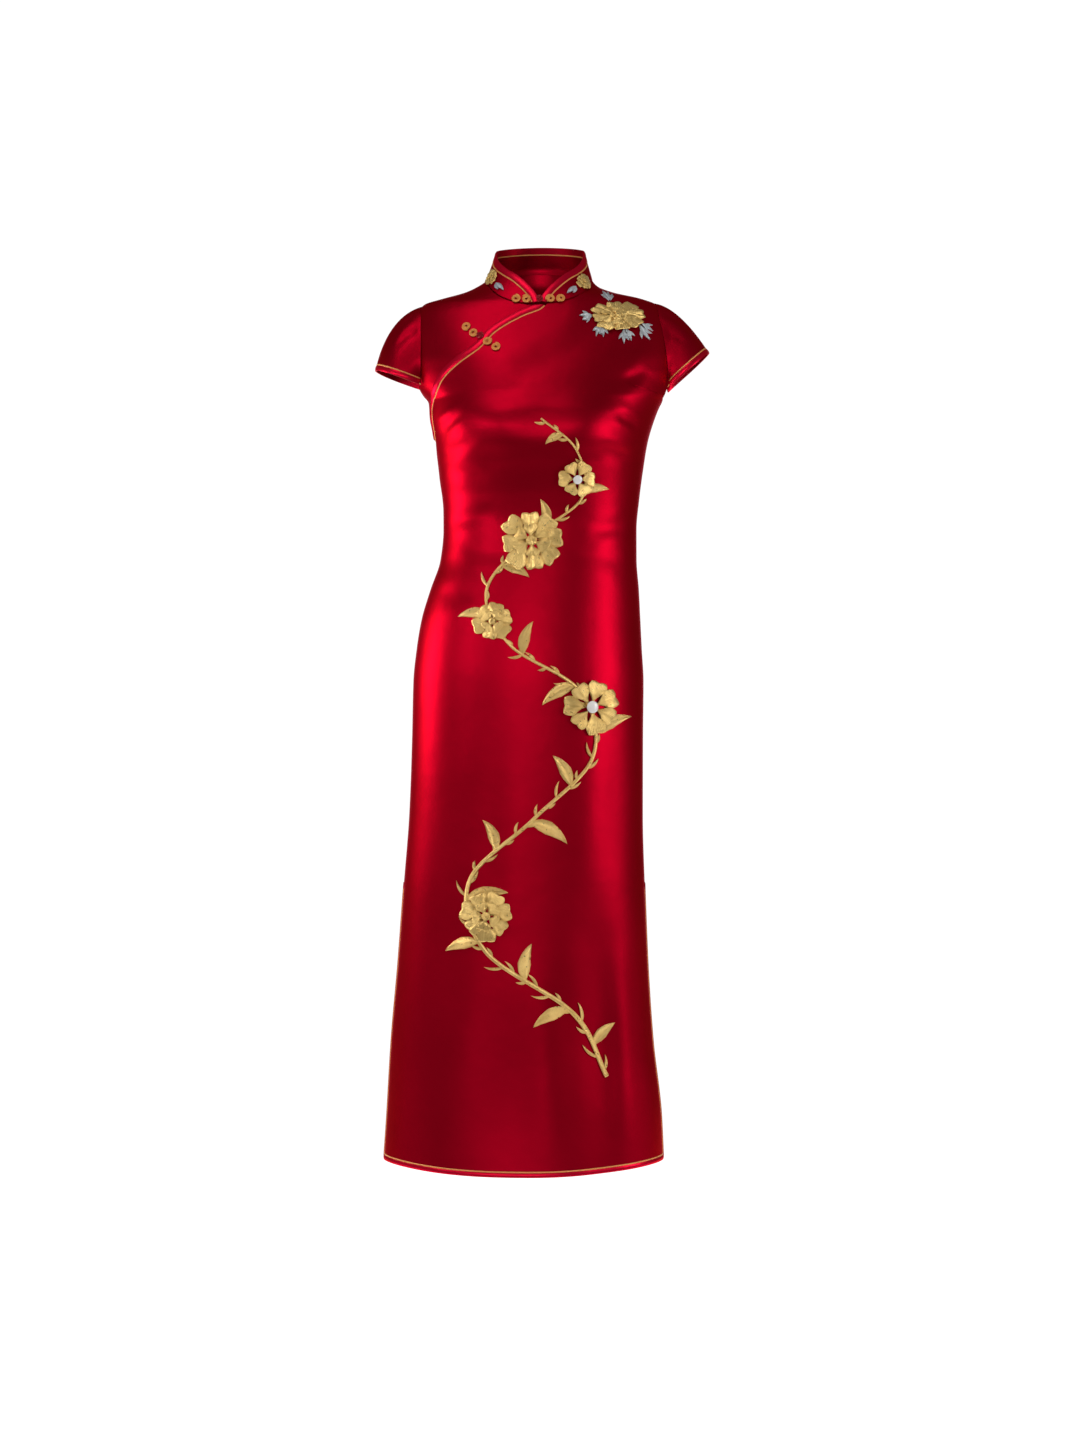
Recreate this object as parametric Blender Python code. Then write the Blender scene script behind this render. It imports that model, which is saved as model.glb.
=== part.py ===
"""A red satin cheongsam, worn closed: panels, stand collar, cap sleeves, bindings, frogs and raised flowers.

Metres, +Z up. The origin is the middle of the neck base, the wearer faces -Y and the wearer's left is +X.
Every piece is laid on one smooth surface, the dress as worn, and moved out from it along its normal.
"""

import math
from collections import namedtuple

import bpy
import numpy as np
from mathutils import Vector
from mathutils.bvhtree import BVHTree
from mathutils.geometry import delaunay_2d_cdt

# Cloth and trim
WALL = 0.0012
SEAM_GAP = 0.0003
PIPING_RADIUS = 0.0008
BIND_THICK = 0.0018
COLLAR_BIND = 0.0085
OPENING_BIND = 0.0085
SLEEVE_BIND = 0.0068
HEM_BIND = 0.0060
PIPING_SLOT = 2.0 * (PIPING_RADIUS + SEAM_GAP)
APPLIQUE_GAP = 0.0009
APPLIQUE_EDGE = 0.0006
APPLIQUE_RIDGE = 0.0013
APPLIQUE_STEP = APPLIQUE_RIDGE + 0.0003

# Heights of the dress
CHEST_Z = -0.238
WAIST_Z = -0.420
SLIT_Z = -0.790
SIDE_HEM_Z = -1.155
HEM_DROP = 0.013
SLIT_SPREAD = 0.0020

# The dress as worn: half widths to the wearer's right and left, depths to the front and back
Level = namedtuple("Level", "z right left front back square")
LEVELS = [
    Level(0.024, 0.0660, 0.0620, 0.044, 0.056, 2.00),
    Level(0.003, 0.0713, 0.0673, 0.046, 0.058, 2.00),
    Level(-0.0065, 0.0845, 0.0765, 0.048, 0.061, 2.00),
    Level(-0.0144, 0.1017, 0.0976, 0.050, 0.065, 2.00),
    Level(-0.0223, 0.1307, 0.1330, 0.053, 0.069, 2.05),
    Level(-0.0300, 0.1545, 0.1530, 0.057, 0.073, 2.10),
    Level(-0.0450, 0.1640, 0.1630, 0.063, 0.080, 2.30),
    Level(-0.0750, 0.1690, 0.1720, 0.077, 0.092, 2.40),
    Level(-0.1000, 0.1685, 0.1745, 0.089, 0.098, 2.40),
    Level(-0.1200, 0.1665, 0.1745, 0.098, 0.101, 2.30),
    Level(-0.1375, 0.1630, 0.1715, 0.106, 0.102, 2.20),
    Level(-0.1500, 0.1545, 0.1660, 0.111, 0.103, 2.30),
    Level(-0.1580, 0.1478, 0.1590, 0.114, 0.103, 2.40),
    Level(-0.1810, 0.1460, 0.1490, 0.120, 0.102, 2.35),
    Level(-0.2120, 0.1373, 0.1399, 0.121, 0.099, 2.30),
    Level(-0.2440, 0.1320, 0.1346, 0.113, 0.094, 2.20),
    Level(-0.2860, 0.1285, 0.1290, 0.099, 0.086, 2.20),
    Level(-0.3260, 0.1281, 0.1254, 0.092, 0.081, 2.20),
    Level(-0.3655, 0.1320, 0.1255, 0.094, 0.083, 2.20),
    Level(-0.4050, 0.1452, 0.1285, 0.098, 0.090, 2.20),
    Level(-0.4450, 0.1571, 0.1305, 0.102, 0.101, 2.20),
    Level(-0.4850, 0.1637, 0.1325, 0.105, 0.112, 2.20),
    Level(-0.5240, 0.1677, 0.1346, 0.106, 0.120, 2.20),
    Level(-0.6000, 0.1695, 0.1335, 0.105, 0.127, 2.20),
    Level(-0.7000, 0.1730, 0.1333, 0.103, 0.122, 2.15),
    Level(-0.8000, 0.1805, 0.1365, 0.101, 0.116, 2.10),
    Level(-0.9000, 0.1880, 0.1405, 0.100, 0.113, 2.10),
    Level(-1.0000, 0.1970, 0.1470, 0.100, 0.113, 2.10),
    Level(-1.1000, 0.2030, 0.1580, 0.101, 0.115, 2.10),
    Level(-1.1800, 0.2085, 0.1620, 0.103, 0.117, 2.10),
]

# Soft swellings (rise above zero) and troughs (below zero) that run down a panel
Fold = namedtuple("Fold", "face x_top x_low z_top z_low half_width rise")
FOLDS = [
    Fold("front", -0.066, -0.066, -0.150, -0.245, 0.050, 0.009),
    Fold("front", 0.066, 0.066, -0.150, -0.245, 0.050, 0.009),
    Fold("front", 0.074, 0.084, -0.760, -1.250, 0.034, -0.015),
    Fold("front", -0.030, -0.045, -0.900, -1.250, 0.040, -0.005),
    Fold("front", -0.125, -0.140, -0.840, -1.250, 0.034, 0.005),
    Fold("back", -0.085, -0.105, -0.720, -1.250, 0.036, -0.011),
    Fold("back", 0.050, 0.060, -0.780, -1.250, 0.040, -0.009),
    Fold("back", 0.000, 0.000, -0.260, -0.390, 0.045, -0.007),
]

# Armhole edges seen from the front, from the underarm up to the shoulder tip
Station = namedtuple("Station", "z x")
ARMHOLES = {
    "right": [
        Station(-0.1580, 0.1475), Station(-0.1500, 0.1515), Station(-0.1375, 0.1565), Station(-0.1280, 0.1564),
        Station(-0.1060, 0.1560), Station(-0.0840, 0.1562), Station(-0.0630, 0.1568), Station(-0.0470, 0.1573),
        Station(-0.0370, 0.1576), Station(-0.0316, 0.1580),
    ],
    "left": [
        Station(-0.1600, 0.1565), Station(-0.1510, 0.1605), Station(-0.1400, 0.1655), Station(-0.1300, 0.1658),
        Station(-0.1080, 0.1640), Station(-0.0860, 0.1612), Station(-0.0640, 0.1575), Station(-0.0460, 0.1538),
        Station(-0.0340, 0.1516), Station(-0.0276, 0.1510),
    ],
}
NOTCH = 3
SIDE_ROWS = 6

# Sleeve hems: where they start at the armhole, how far out they reach, and the lean of the cap at both ends
Sleeve = namedtuple("Sleeve", "x_in z_in x_out z_out reach_top fall_top reach_hem fall_hem")
SLEEVES = {
    "right": Sleeve(0.1600, -0.1375, 0.2180, -0.1165, 0.110, 0.030, 0.020, 0.100),
    "left": Sleeve(0.1692, -0.1405, 0.2215, -0.0935, 0.085, 0.012, 0.045, 0.070),
}
HEM_DEPTH_END = 0.040
HEM_DEPTH_BULGE = 0.012

# Neckline and stand collar
NECK_X = -0.0020
NECK_HALF = 0.0693
NECK_FRONT_Z = -0.0365
NECK_SIDE_Z = 0.0030
NECK_BACK_Z = 0.0200
COLLAR_LIFT = 0.0020
COLLAR_TOP_X = -0.0008
COLLAR_TOP_HALF = 0.0574
COLLAR_TOP_FRONT = 0.048
COLLAR_TOP_BACK = 0.044
COLLAR_TOP_RISE = 0.0385
COLLAR_BACK_FALL = 0.0060
COLLAR_FRONT_GAP = 0.0004
COLLAR_END = 0.045
COLLAR_END_POWER = 1.6
COLLAR_COLUMNS = 46
COLLAR_CROWD = 1.5
NECK_STEPS = 12

# The slanted opening: its piping seen from the front, from the neck down to the wearer's right side
Turn = namedtuple("Turn", "x z")
OPENING = [
    Turn(0.0045, -0.0385), Turn(-0.0030, -0.0445), Turn(-0.0260, -0.0540), Turn(-0.0580, -0.0735),
    Turn(-0.0790, -0.0960), Turn(-0.1065, -0.1160), Turn(-0.1270, -0.1372), Turn(-0.1388, -0.1700),
    Turn(-0.1355, -0.2050), Turn(-0.1338, -0.2280),
]
OVERLAP = 0.026
OVERLAP_LIFT = 0.0029
OVERLAP_DIP = 0.0009
LIFT_NEAR = 0.030
LIFT_FAR = 0.075

UNDER_FRONT_Z = -0.250
NECK_CLEAR = 0.0008
SLEEVE_CLEAR_TIP = 0.0004
SLEEVE_CLEAR_NOTCH = 0.0018
COLUMNS = {"front": 16, "back": 14}
SLIT_STEPS = 7
UPPER_ROWS = SIDE_ROWS + len(ARMHOLES["right"]) - 1

# Frogs: coiled discs and knotted buttons, seen from the front, and how far they sit off the cloth
Coil = namedtuple("Coil", "name place x z out")
COILS = [
    Coil("neck_coil_1", "foot", -0.0333, -0.0280, 0.0013),
    Coil("neck_coil_2", "foot", -0.0197, -0.0287, 0.0013),
    Coil("neck_coil_3", "foot", 0.0122, -0.0287, 0.0013),
    Coil("neck_coil_4", "foot", 0.0259, -0.0284, 0.0013),
    Coil("chest_coil_1", "under", -0.0966, -0.0652, 0.0010),
    Coil("chest_coil_2", "under", -0.0873, -0.0739, 0.0010),
    Coil("chest_coil_3", "front", -0.0690, -0.0874, 0.0014),
    Coil("chest_coil_4", "front", -0.0582, -0.0954, 0.0014),
]
Profile = namedtuple("Profile", "radius height")
COIL_PROFILE = [
    Profile(0.0, 0.0), Profile(0.0064, 0.0), Profile(0.0065, 0.0010), Profile(0.0053, 0.0018),
    Profile(0.0041, 0.0011), Profile(0.0028, 0.0019), Profile(0.0011, 0.0009), Profile(0.0, 0.0009),
]
Knot = namedtuple("Knot", "name place x z out heading")
KNOTS = [
    Knot("neck", "foot", -0.0023, -0.0287, 0.0013, 0.0),
    Knot("chest", "front", -0.0786, -0.0793, 0.0012, -40.0),
]
KNOT_PROFILE = [
    Profile(0.0, 0.0), Profile(0.0020, 0.0003), Profile(0.0031, 0.0018), Profile(0.0031, 0.0034),
    Profile(0.0018, 0.0050), Profile(0.0, 0.0056),
]
LOOP_REACH = 0.0044
LOOP_RISE = 0.0014
LOOP_SWEEP = 125.0

# Petals: how far a petal's rim reaches, and where it swings between the petal's two sides
Rim = namedtuple("Rim", "reach swing")
PETAL = [
    Rim(0.15, 0.0), Rim(0.64, -1.00), Rim(0.95, -0.56), Rim(0.88, 0.0), Rim(0.95, 0.56), Rim(0.64, 1.00),
]
PETAL_OVERLAP = 1.14
PETAL_VARIATION = 0.07
HEART_REACH = 0.36

# Leaves: start, heading in degrees, length, width and bend in degrees
Leaf = namedtuple("Leaf", "x z heading length width bend")
Bloom = namedtuple("Bloom", "x z wide tall")
SHOULDER_FLOWER = Bloom(0.0990, -0.0520, 0.0370, 0.0210)
Ring = namedtuple("Ring", "share petals start")
SHOULDER_RINGS = [Ring(1.0, 8, 0.2), Ring(0.66, 6, 0.5), Ring(0.34, 4, 0.1)]
SHOULDER_LEAVES = [
    [Leaf(0.088, -0.030, 112.0, 0.016, 0.0070, 20.0), Leaf(0.090, -0.030, 85.0, 0.010, 0.0060, -30.0)],
    [Leaf(0.066, -0.051, 178.0, 0.017, 0.0070, 15.0), Leaf(0.066, -0.052, 215.0, 0.014, 0.0060, -20.0)],
    [Leaf(0.078, -0.062, 240.0, 0.019, 0.0080, 20.0), Leaf(0.079, -0.063, 282.0, 0.018, 0.0070, -15.0)],
    [Leaf(0.108, -0.068, 262.0, 0.021, 0.0080, 15.0), Leaf(0.110, -0.068, 302.0, 0.018, 0.0070, -20.0)],
    [Leaf(0.128, -0.062, 296.0, 0.024, 0.0085, 18.0), Leaf(0.130, -0.060, 334.0, 0.018, 0.0070, -15.0)],
]
CollarFlower = namedtuple("CollarFlower", "side along level size leaves")
COLLAR_FLOWERS = [
    CollarFlower("right", -0.0790, 0.0050, 0.0135, [
        Leaf(-0.0640, -0.0040, -28.0, 0.018, 0.0065, -20.0),
        Leaf(-0.0640, -0.0055, -62.0, 0.011, 0.0055, 15.0),
    ]),
    CollarFlower("left", 0.0660, -0.0020, 0.0135, [
        Leaf(0.0510, -0.0095, 208.0, 0.018, 0.0065, 20.0),
        Leaf(0.0510, -0.0110, 242.0, 0.011, 0.0055, -15.0),
    ]),
]

# The raised vine on the main front, from its root at the hem up to the chest
Point = namedtuple("Point", "x z")
VINE = [
    Point(0.085, -1.040), Point(0.040, -0.955), Point(-0.072, -0.875), Point(-0.092, -0.785), Point(-0.010, -0.705),
    Point(0.066, -0.625), Point(0.050, -0.540), Point(-0.040, -0.480), Point(-0.070, -0.410), Point(-0.018, -0.345),
    Point(0.052, -0.290), Point(0.046, -0.230), Point(0.000, -0.190),
]
VINE_WIDTH_LOW = 0.0060
VINE_WIDTH_TOP = 0.0028
VINE_STEPS = 61
Sprig = namedtuple("Sprig", "share lean length width bend")
VINE_LEAVES = [
    Sprig(0.04, -55.0, 0.040, 0.015, -30.0), Sprig(0.09, 50.0, 0.052, 0.017, 40.0),
    Sprig(0.15, -48.0, 0.050, 0.017, -45.0), Sprig(0.22, 55.0, 0.046, 0.016, 40.0),
    Sprig(0.27, -60.0, 0.056, 0.018, -40.0), Sprig(0.34, 50.0, 0.044, 0.015, 50.0),
    Sprig(0.39, -52.0, 0.056, 0.018, -45.0), Sprig(0.45, 58.0, 0.046, 0.016, 40.0),
    Sprig(0.52, -50.0, 0.052, 0.017, -40.0), Sprig(0.58, 52.0, 0.050, 0.016, 45.0),
    Sprig(0.65, -56.0, 0.046, 0.015, -40.0), Sprig(0.71, 50.0, 0.042, 0.014, 45.0),
    Sprig(0.77, -50.0, 0.040, 0.014, -45.0), Sprig(0.84, 52.0, 0.036, 0.013, 40.0),
    Sprig(0.90, -52.0, 0.032, 0.012, -40.0), Sprig(0.97, 40.0, 0.026, 0.010, 50.0),
]
VineBloom = namedtuple("VineBloom", "x z size petals start pearl")
BLOOMS = [
    VineBloom(-0.012, -0.345, 0.042, 8, 0.1, 0.0), VineBloom(0.064, -0.560, 0.036, 7, 0.4, 0.008),
    VineBloom(-0.070, -0.830, 0.034, 7, 0.2, 0.0), VineBloom(-0.062, -0.450, 0.026, 6, 0.3, 0.0),
    VineBloom(0.046, -0.265, 0.024, 6, 0.0, 0.006),
]
BLOOM_INNER = 0.58
PEARL_LIFT = WALL / 2.0 + APPLIQUE_GAP + 2 * APPLIQUE_STEP
PEARL_PROFILE = [
    Profile(0.0, 0.0), Profile(1.0, 0.0), Profile(0.95, 0.25), Profile(0.70, 0.48), Profile(0.35, 0.60),
    Profile(0.0, 0.63),
]

# Colours, roughness and metallic value of each material
Finish = namedtuple("Finish", "color roughness metallic")
FINISHES = {
    "satin": Finish((0.40, 0.004, 0.022), 0.30, 0.0),
    "binding": Finish((0.52, 0.010, 0.020), 0.32, 0.0),
    "piping": Finish((0.85, 0.42, 0.20), 0.35, 0.3),
    "coil": Finish((0.72, 0.40, 0.13), 0.40, 0.4),
    "gold": Finish((0.66, 0.44, 0.16), 0.32, 0.8),
    "silver": Finish((0.52, 0.56, 0.58), 0.35, 0.7),
    "pearl": Finish((0.82, 0.78, 0.74), 0.15, 0.0),
}


def smooth_table(keys, values):
    """Returns a curve that passes through the table's points without overshooting them."""
    order = np.argsort(keys)
    x = np.array(keys, float)[order]
    y = np.array(values, float)[order]
    step = np.diff(x)
    slope = np.diff(y) / step
    tangent = np.zeros_like(y)
    tangent[0] = slope[0]
    tangent[-1] = slope[-1]
    for k in range(1, len(x) - 1):
        if slope[k - 1] * slope[k] > 0.0:
            before = 2.0 * step[k] + step[k - 1]
            after = step[k] + 2.0 * step[k - 1]
            tangent[k] = (before + after) / (before / slope[k - 1] + after / slope[k])

    def curve(t):
        t = np.clip(t, x[0], x[-1])
        k = np.clip(np.searchsorted(x, t, side="right") - 1, 0, len(x) - 2)
        s = (t - x[k]) / step[k]
        rise = s * s * (3.0 - 2.0 * s)
        swing = step[k] * s * (1.0 - s)
        return y[k] + (y[k + 1] - y[k]) * rise + swing * ((1.0 - s) * tangent[k] - s * tangent[k + 1])

    return curve


HEIGHTS = [level.z for level in LEVELS]
SHAPE = {
    field: smooth_table(HEIGHTS, [getattr(level, field) for level in LEVELS])
    for field in ("right", "left", "front", "back", "square")
}


def smooth_step(t):
    t = np.clip(t, 0.0, 1.0)
    return t * t * (3.0 - 2.0 * t)


def fold_rise(face, x, z):
    """Height of all folds of one face over the plain shape."""
    total = np.zeros(np.broadcast(x, z).shape)
    for fold in FOLDS:
        if fold.face != face:
            continue
        along = (fold.z_top - z) / (fold.z_top - fold.z_low)
        middle = fold.x_top + (fold.x_low - fold.x_top) * along
        across = np.exp(-(((x - middle) / fold.half_width) ** 2))
        total = total + fold.rise * across * smooth_step(along * 2.0) * smooth_step((1.0 - along) * 2.0)
    return total


def skin(face, angle, z):
    """Point of the worn shape: angle runs from -90 degrees at the right side seam to +90 at the left."""
    angle, z = np.broadcast_arrays(np.asarray(angle, float), np.asarray(z, float))
    right, left = SHAPE["right"](z), SHAPE["left"](z)
    power = 2.0 / SHAPE["square"](z)
    sine, cosine = np.sin(angle), np.maximum(np.cos(angle), 0.0)
    x = (left - right) / 2.0 + (left + right) / 2.0 * np.sign(sine) * np.abs(sine) ** power
    depth = SHAPE[face](z) * cosine**power + fold_rise(face, x, z) * cosine
    return np.stack([x, -depth if face == "front" else depth, z], axis=-1)


def angle_at(face, x, z):
    """Angle of the point that lies at x as seen from the front, kept inside the seams."""
    x, z = np.broadcast_arrays(np.asarray(x, float), np.asarray(z, float))
    right, left = SHAPE["right"](z), SHAPE["left"](z)
    share = np.clip((x - (left - right) / 2.0) / ((left + right) / 2.0), -1.0, 1.0)
    angle = np.arcsin(np.sign(share) * np.abs(share) ** (SHAPE["square"](z) / 2.0))
    limit = seam_angle(face, z, SEAM_GAP / 2.0)
    return np.clip(angle, -limit, limit)


def settle(face, points):
    """Angle and height of points that lie close to the worn shape."""
    x, y, z = points[..., 0], points[..., 1], points[..., 2]
    right, left = SHAPE["right"](z), SHAPE["left"](z)
    power = SHAPE["square"](z) / 2.0
    wide = (x - (left - right) / 2.0) / ((left + right) / 2.0)
    deep = np.maximum(-y if face == "front" else y, 0.0) / SHAPE[face](z)
    angle = np.sign(wide) * np.arctan2(np.abs(wide) ** power, deep**power)
    limit = seam_angle(face, z, SEAM_GAP / 2.0)
    return np.clip(angle, -limit, limit), z


def seam_angle(face, z, inset):
    """Angle at which the face lies its inset away from the side seam."""
    return np.arccos((inset / SHAPE[face](z)) ** (SHAPE["square"](z) / 2.0))


def unit(vectors):
    return vectors / np.linalg.norm(vectors, axis=-1, keepdims=True)


def slopes(face, angle, z):
    """How the point moves with the angle and with height, kept off the seams where both faces turn."""
    bend, lift = 0.01, 0.0005
    inner = np.clip(angle, -math.pi / 2 + 0.03, math.pi / 2 - 0.03)
    by_angle = (skin(face, inner + bend, z) - skin(face, inner - bend, z)) / (2.0 * bend)
    by_height = (skin(face, inner, z + lift) - skin(face, inner, z - lift)) / (2.0 * lift)
    return by_angle, by_height


def surface(face, angle, z, out=0.0):
    """Point on the worn shape, moved out along its normal."""
    angle, z = np.broadcast_arrays(np.asarray(angle, float), np.asarray(z, float))
    by_angle, by_height = slopes(face, angle, z)
    normal = unit(np.cross(by_angle, by_height))
    if face == "back":
        normal = -normal
    return skin(face, angle, z) + np.asarray(out)[..., None] * normal


def walk(face, angle, z, direction, distance):
    """Moves points along the cloth, a distance in the given 3-D direction."""
    legs = 6
    angle, z = np.array(angle, float), np.array(z, float)
    for _ in range(legs):
        a, h = slopes(face, angle, z)
        aa, ah, hh = (a * a).sum(-1), (a * h).sum(-1), (h * h).sum(-1)
        da, dh = (direction * a).sum(-1), (direction * h).sum(-1)
        det = aa * hh - ah * ah
        turn, climb = (da * hh - dh * ah) / det, (dh * aa - da * ah) / det
        length = np.linalg.norm(a * turn[..., None] + h * climb[..., None], axis=-1)
        angle = angle + turn / length * distance / legs
        z = z + climb / length * distance / legs
    limit = seam_angle(face, z, SEAM_GAP / 2.0)
    return np.clip(angle, -limit, limit), z


def along_curve(points, count, power=1.0):
    """Points at even steps along a smooth curve through the given ones."""
    points = np.array(points, float)
    padded = np.vstack([2 * points[0] - points[1], points, 2 * points[-1] - points[-2]])
    fine = []
    for k in range(1, len(padded) - 2):
        before, start, end, after = padded[k - 1 : k + 3]
        for s in np.linspace(0.0, 1.0, 24, endpoint=False):
            fine.append(
                start
                + 0.5 * s * (end - before)
                + s * s * (before - 2.5 * start + 2.0 * end - 0.5 * after)
                + s**3 * (1.5 * (start - end) + 0.5 * (after - before))
            )
    fine = np.array(fine + [points[-1]])
    length = np.concatenate([[0.0], np.cumsum(np.linalg.norm(np.diff(fine, axis=0), axis=1))])
    wanted = np.linspace(0.0, 1.0, count) ** power * length[-1]
    return np.stack([np.interp(wanted, length, fine[:, c]) for c in range(fine.shape[1])], axis=1)


def distance_to(line, x, z):
    """Distance seen from the front, from points to a run of short stretches."""
    best = np.full(np.shape(x), np.inf)
    for start, end in zip(line[:-1], line[1:]):
        span = end - start
        share = ((x - start[0]) * span[0] + (z - start[1]) * span[1]) / (span @ span)
        share = np.clip(share, 0.0, 1.0)
        gap = np.hypot(x - start[0] - share * span[0], z - start[1] - share * span[1])
        best = np.minimum(best, gap)
    return best


# The neckline

def neck_rise(turn):
    """Share of the way from the front of the neck up to its side, for a turn from 0 to 90 degrees."""
    return (1.0 - np.cos(turn)) ** 1.1


def neck_point(turn):
    """Face, x and z of the neckline, for a turn round the neck from 0 at the front, right side negative."""
    size = abs(turn)
    x = NECK_X + NECK_HALF * math.sin(turn)
    if size <= math.pi / 2:
        return "front", x, NECK_FRONT_Z + (NECK_SIDE_Z - NECK_FRONT_Z) * neck_rise(size)
    return "back", x, NECK_SIDE_Z - (NECK_BACK_Z - NECK_SIDE_Z) * math.cos(size)


def neck_ring(turn):
    """Point of the neckline."""
    face, x, z = neck_point(wrap(turn))
    right, left = SHAPE["right"](z), SHAPE["left"](z)
    share = min(1.0, max(-1.0, (x - (left - right) / 2.0) / ((left + right) / 2.0)))
    angle = math.copysign(math.asin(abs(share) ** (SHAPE["square"](z) / 2.0)), share)
    return skin(face, angle, z)


def wrap(turn):
    return turn if turn >= -math.pi else turn + 2.0 * math.pi


def neck_line_z(x):
    """Height of the front neckline at x."""
    turn = np.arcsin(np.clip((x - NECK_X) / NECK_HALF, -1.0, 1.0))
    return NECK_FRONT_Z + (NECK_SIDE_Z - NECK_FRONT_Z) * neck_rise(np.abs(turn))


# Meshes

def add_object(name, points, faces, finish):
    """One closed solid with its faces pointing out and its own material."""
    points = np.array(points, float)
    volume = 0.0
    for face in faces:
        for k in range(1, len(face) - 1):
            a, b, c = points[face[0]], points[face[k]], points[face[k + 1]]
            volume += np.dot(a, np.cross(b, c))
    if volume < 0.0:
        faces = [tuple(reversed(face)) for face in faces]
    mesh = bpy.data.meshes.new(name)
    mesh.from_pydata([tuple(p) for p in points], [], [tuple(f) for f in faces])
    mesh.shade_smooth()
    mesh.set_sharp_from_angle(angle=math.radians(50))
    item = bpy.data.objects.new(name, mesh)
    bpy.context.collection.objects.link(item)
    look = FINISHES[finish]
    material = bpy.data.materials.new(name)
    material.use_nodes = True
    shader = material.node_tree.nodes["Principled BSDF"]
    shader.inputs["Base Color"].default_value = (*look.color, 1.0)
    shader.inputs["Roughness"].default_value = look.roughness
    shader.inputs["Metallic"].default_value = look.metallic
    mesh.materials.append(material)
    return item


def add_wall(name, outer, inner, finish):
    """Closed wall between two grids of points of the same rows and columns."""
    rows, columns = outer.shape[:2]
    points = np.concatenate([outer.reshape(-1, 3), inner.reshape(-1, 3)])
    offset = rows * columns
    faces = []
    for j in range(rows - 1):
        for i in range(columns - 1):
            quad = (j * columns + i, j * columns + i + 1, (j + 1) * columns + i + 1, (j + 1) * columns + i)
            faces.append(quad)
            faces.append(tuple(offset + k for k in reversed(quad)))
    rim = [i for i in range(columns)]
    rim += [j * columns + columns - 1 for j in range(1, rows)]
    rim += [(rows - 1) * columns + i for i in range(columns - 2, -1, -1)]
    rim += [j * columns for j in range(rows - 2, 0, -1)]
    for a, b in zip(rim, rim[1:] + rim[:1]):
        faces.append((b, a, offset + a, offset + b))
    return add_object(name, points, faces, finish)


def cloth(name, face, angle, z, lift=0.0, thick=WALL, finish="satin"):
    """Wall of cloth on one face of the dress, its middle on the worn shape."""
    outer = surface(face, angle, z, lift + thick / 2.0)
    inner = surface(face, angle, z, lift - thick / 2.0)
    return add_wall(name, outer, inner, finish)


def add_cord(name, centres, normals, radius, finish, sides=5):
    """Cord along a run of points, its section set square to the run."""
    centres, normals = np.array(centres), np.array(normals)
    run = unit(np.gradient(centres, axis=0))
    across = unit(np.cross(run, normals))
    up = np.cross(across, run)
    turns = [2.0 * math.pi * k / sides for k in range(sides)]
    ring = np.stack([across * math.cos(t) * radius + up * math.sin(t) * radius for t in turns], axis=1)
    points = (centres[:, None] + ring).reshape(-1, 3)
    faces = []
    for j in range(len(centres) - 1):
        for k in range(sides):
            low, high = j * sides, (j + 1) * sides
            faces.append((low + k, low + (k + 1) % sides, high + (k + 1) % sides, high + k))
    faces.append(tuple(reversed(range(sides))))
    faces.append(tuple((len(centres) - 1) * sides + k for k in range(sides)))
    return add_object(name, points, faces, finish)


def add_turned(name, frame, profile, finish, segments=12):
    """Solid of revolution about the frame's out axis; the profile runs from the base's middle to the top's."""
    origin, across, up, out = frame
    points = [origin + out * profile[0][1]]
    for radius, height in profile[1:-1]:
        for k in range(segments):
            turn = 2.0 * math.pi * k / segments
            points.append(origin + (across * math.cos(turn) + up * math.sin(turn)) * radius + out * height)
    points.append(origin + out * profile[-1][1])
    last = len(points) - 1
    rings = len(profile) - 2
    faces = []
    for k in range(segments):
        n = (k + 1) % segments
        faces.append((0, 1 + n, 1 + k))
        for r in range(rings - 1):
            low, high = 1 + r * segments, 1 + (r + 1) * segments
            faces.append((low + k, low + n, high + n, high + k))
        top = 1 + (rings - 1) * segments
        faces.append((top + k, top + n, last))
    return add_object(name, points, faces, finish)


# Panels

def opening_line(count=UPPER_ROWS):
    return along_curve(OPENING, count)


def opening_lift(x, z):
    """How far the main front is raised over the under front beneath it."""
    gap = distance_to(opening_line(), x, z)
    return OVERLAP_LIFT * (1.0 - smooth_step((gap - LIFT_NEAR) / (LIFT_FAR - LIFT_NEAR)))


def opening_side(distance, count=UPPER_ROWS):
    """Angles and heights beside the opening's piping, positive towards the under front."""
    line = opening_line(count)
    angle = angle_at("front", line[:, 0], line[:, 1])
    run = unit(np.gradient(skin("front", angle, line[:, 1]), axis=0))
    by_angle, by_height = slopes("front", angle, line[:, 1])
    outward = unit(np.cross(by_angle, by_height))
    return walk("front", angle, line[:, 1], np.cross(run, outward), distance)


def edge_points(face, stations):
    """Points of the worn shape for stations given as x and z seen from the front."""
    return skin(face, angle_at(face, stations[:, 0], stations[:, 1]), stations[:, 1])


def side_stations(side):
    """Side seam and armhole of one side as x and z, from the chest line up to the shoulder tip."""
    sign = 1.0 if side == "left" else -1.0
    armhole = ARMHOLES[side]
    heights = np.linspace(CHEST_Z, armhole[0].z, SIDE_ROWS + 1)[:-1]
    seam = [(sign * SHAPE[side](z), z) for z in heights]
    edge = [(sign * station.x, station.z) for station in armhole]
    edge[0] = (sign * SHAPE[side](armhole[0].z), armhole[0].z)
    edge[-1] = (sign * SHAPE[side](armhole[-1].z), armhole[-1].z)
    return np.array(seam + edge)


def shoulder_stations(side, count):
    """Shoulder seam of one side as x and z, from the tip in to the neck."""
    sign = 1.0 if side == "left" else -1.0
    heights = np.linspace(ARMHOLES[side][-1].z, NECK_SIDE_Z, count + 1)
    return np.array([(sign * SHAPE[side](z), z) for z in heights])


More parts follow.
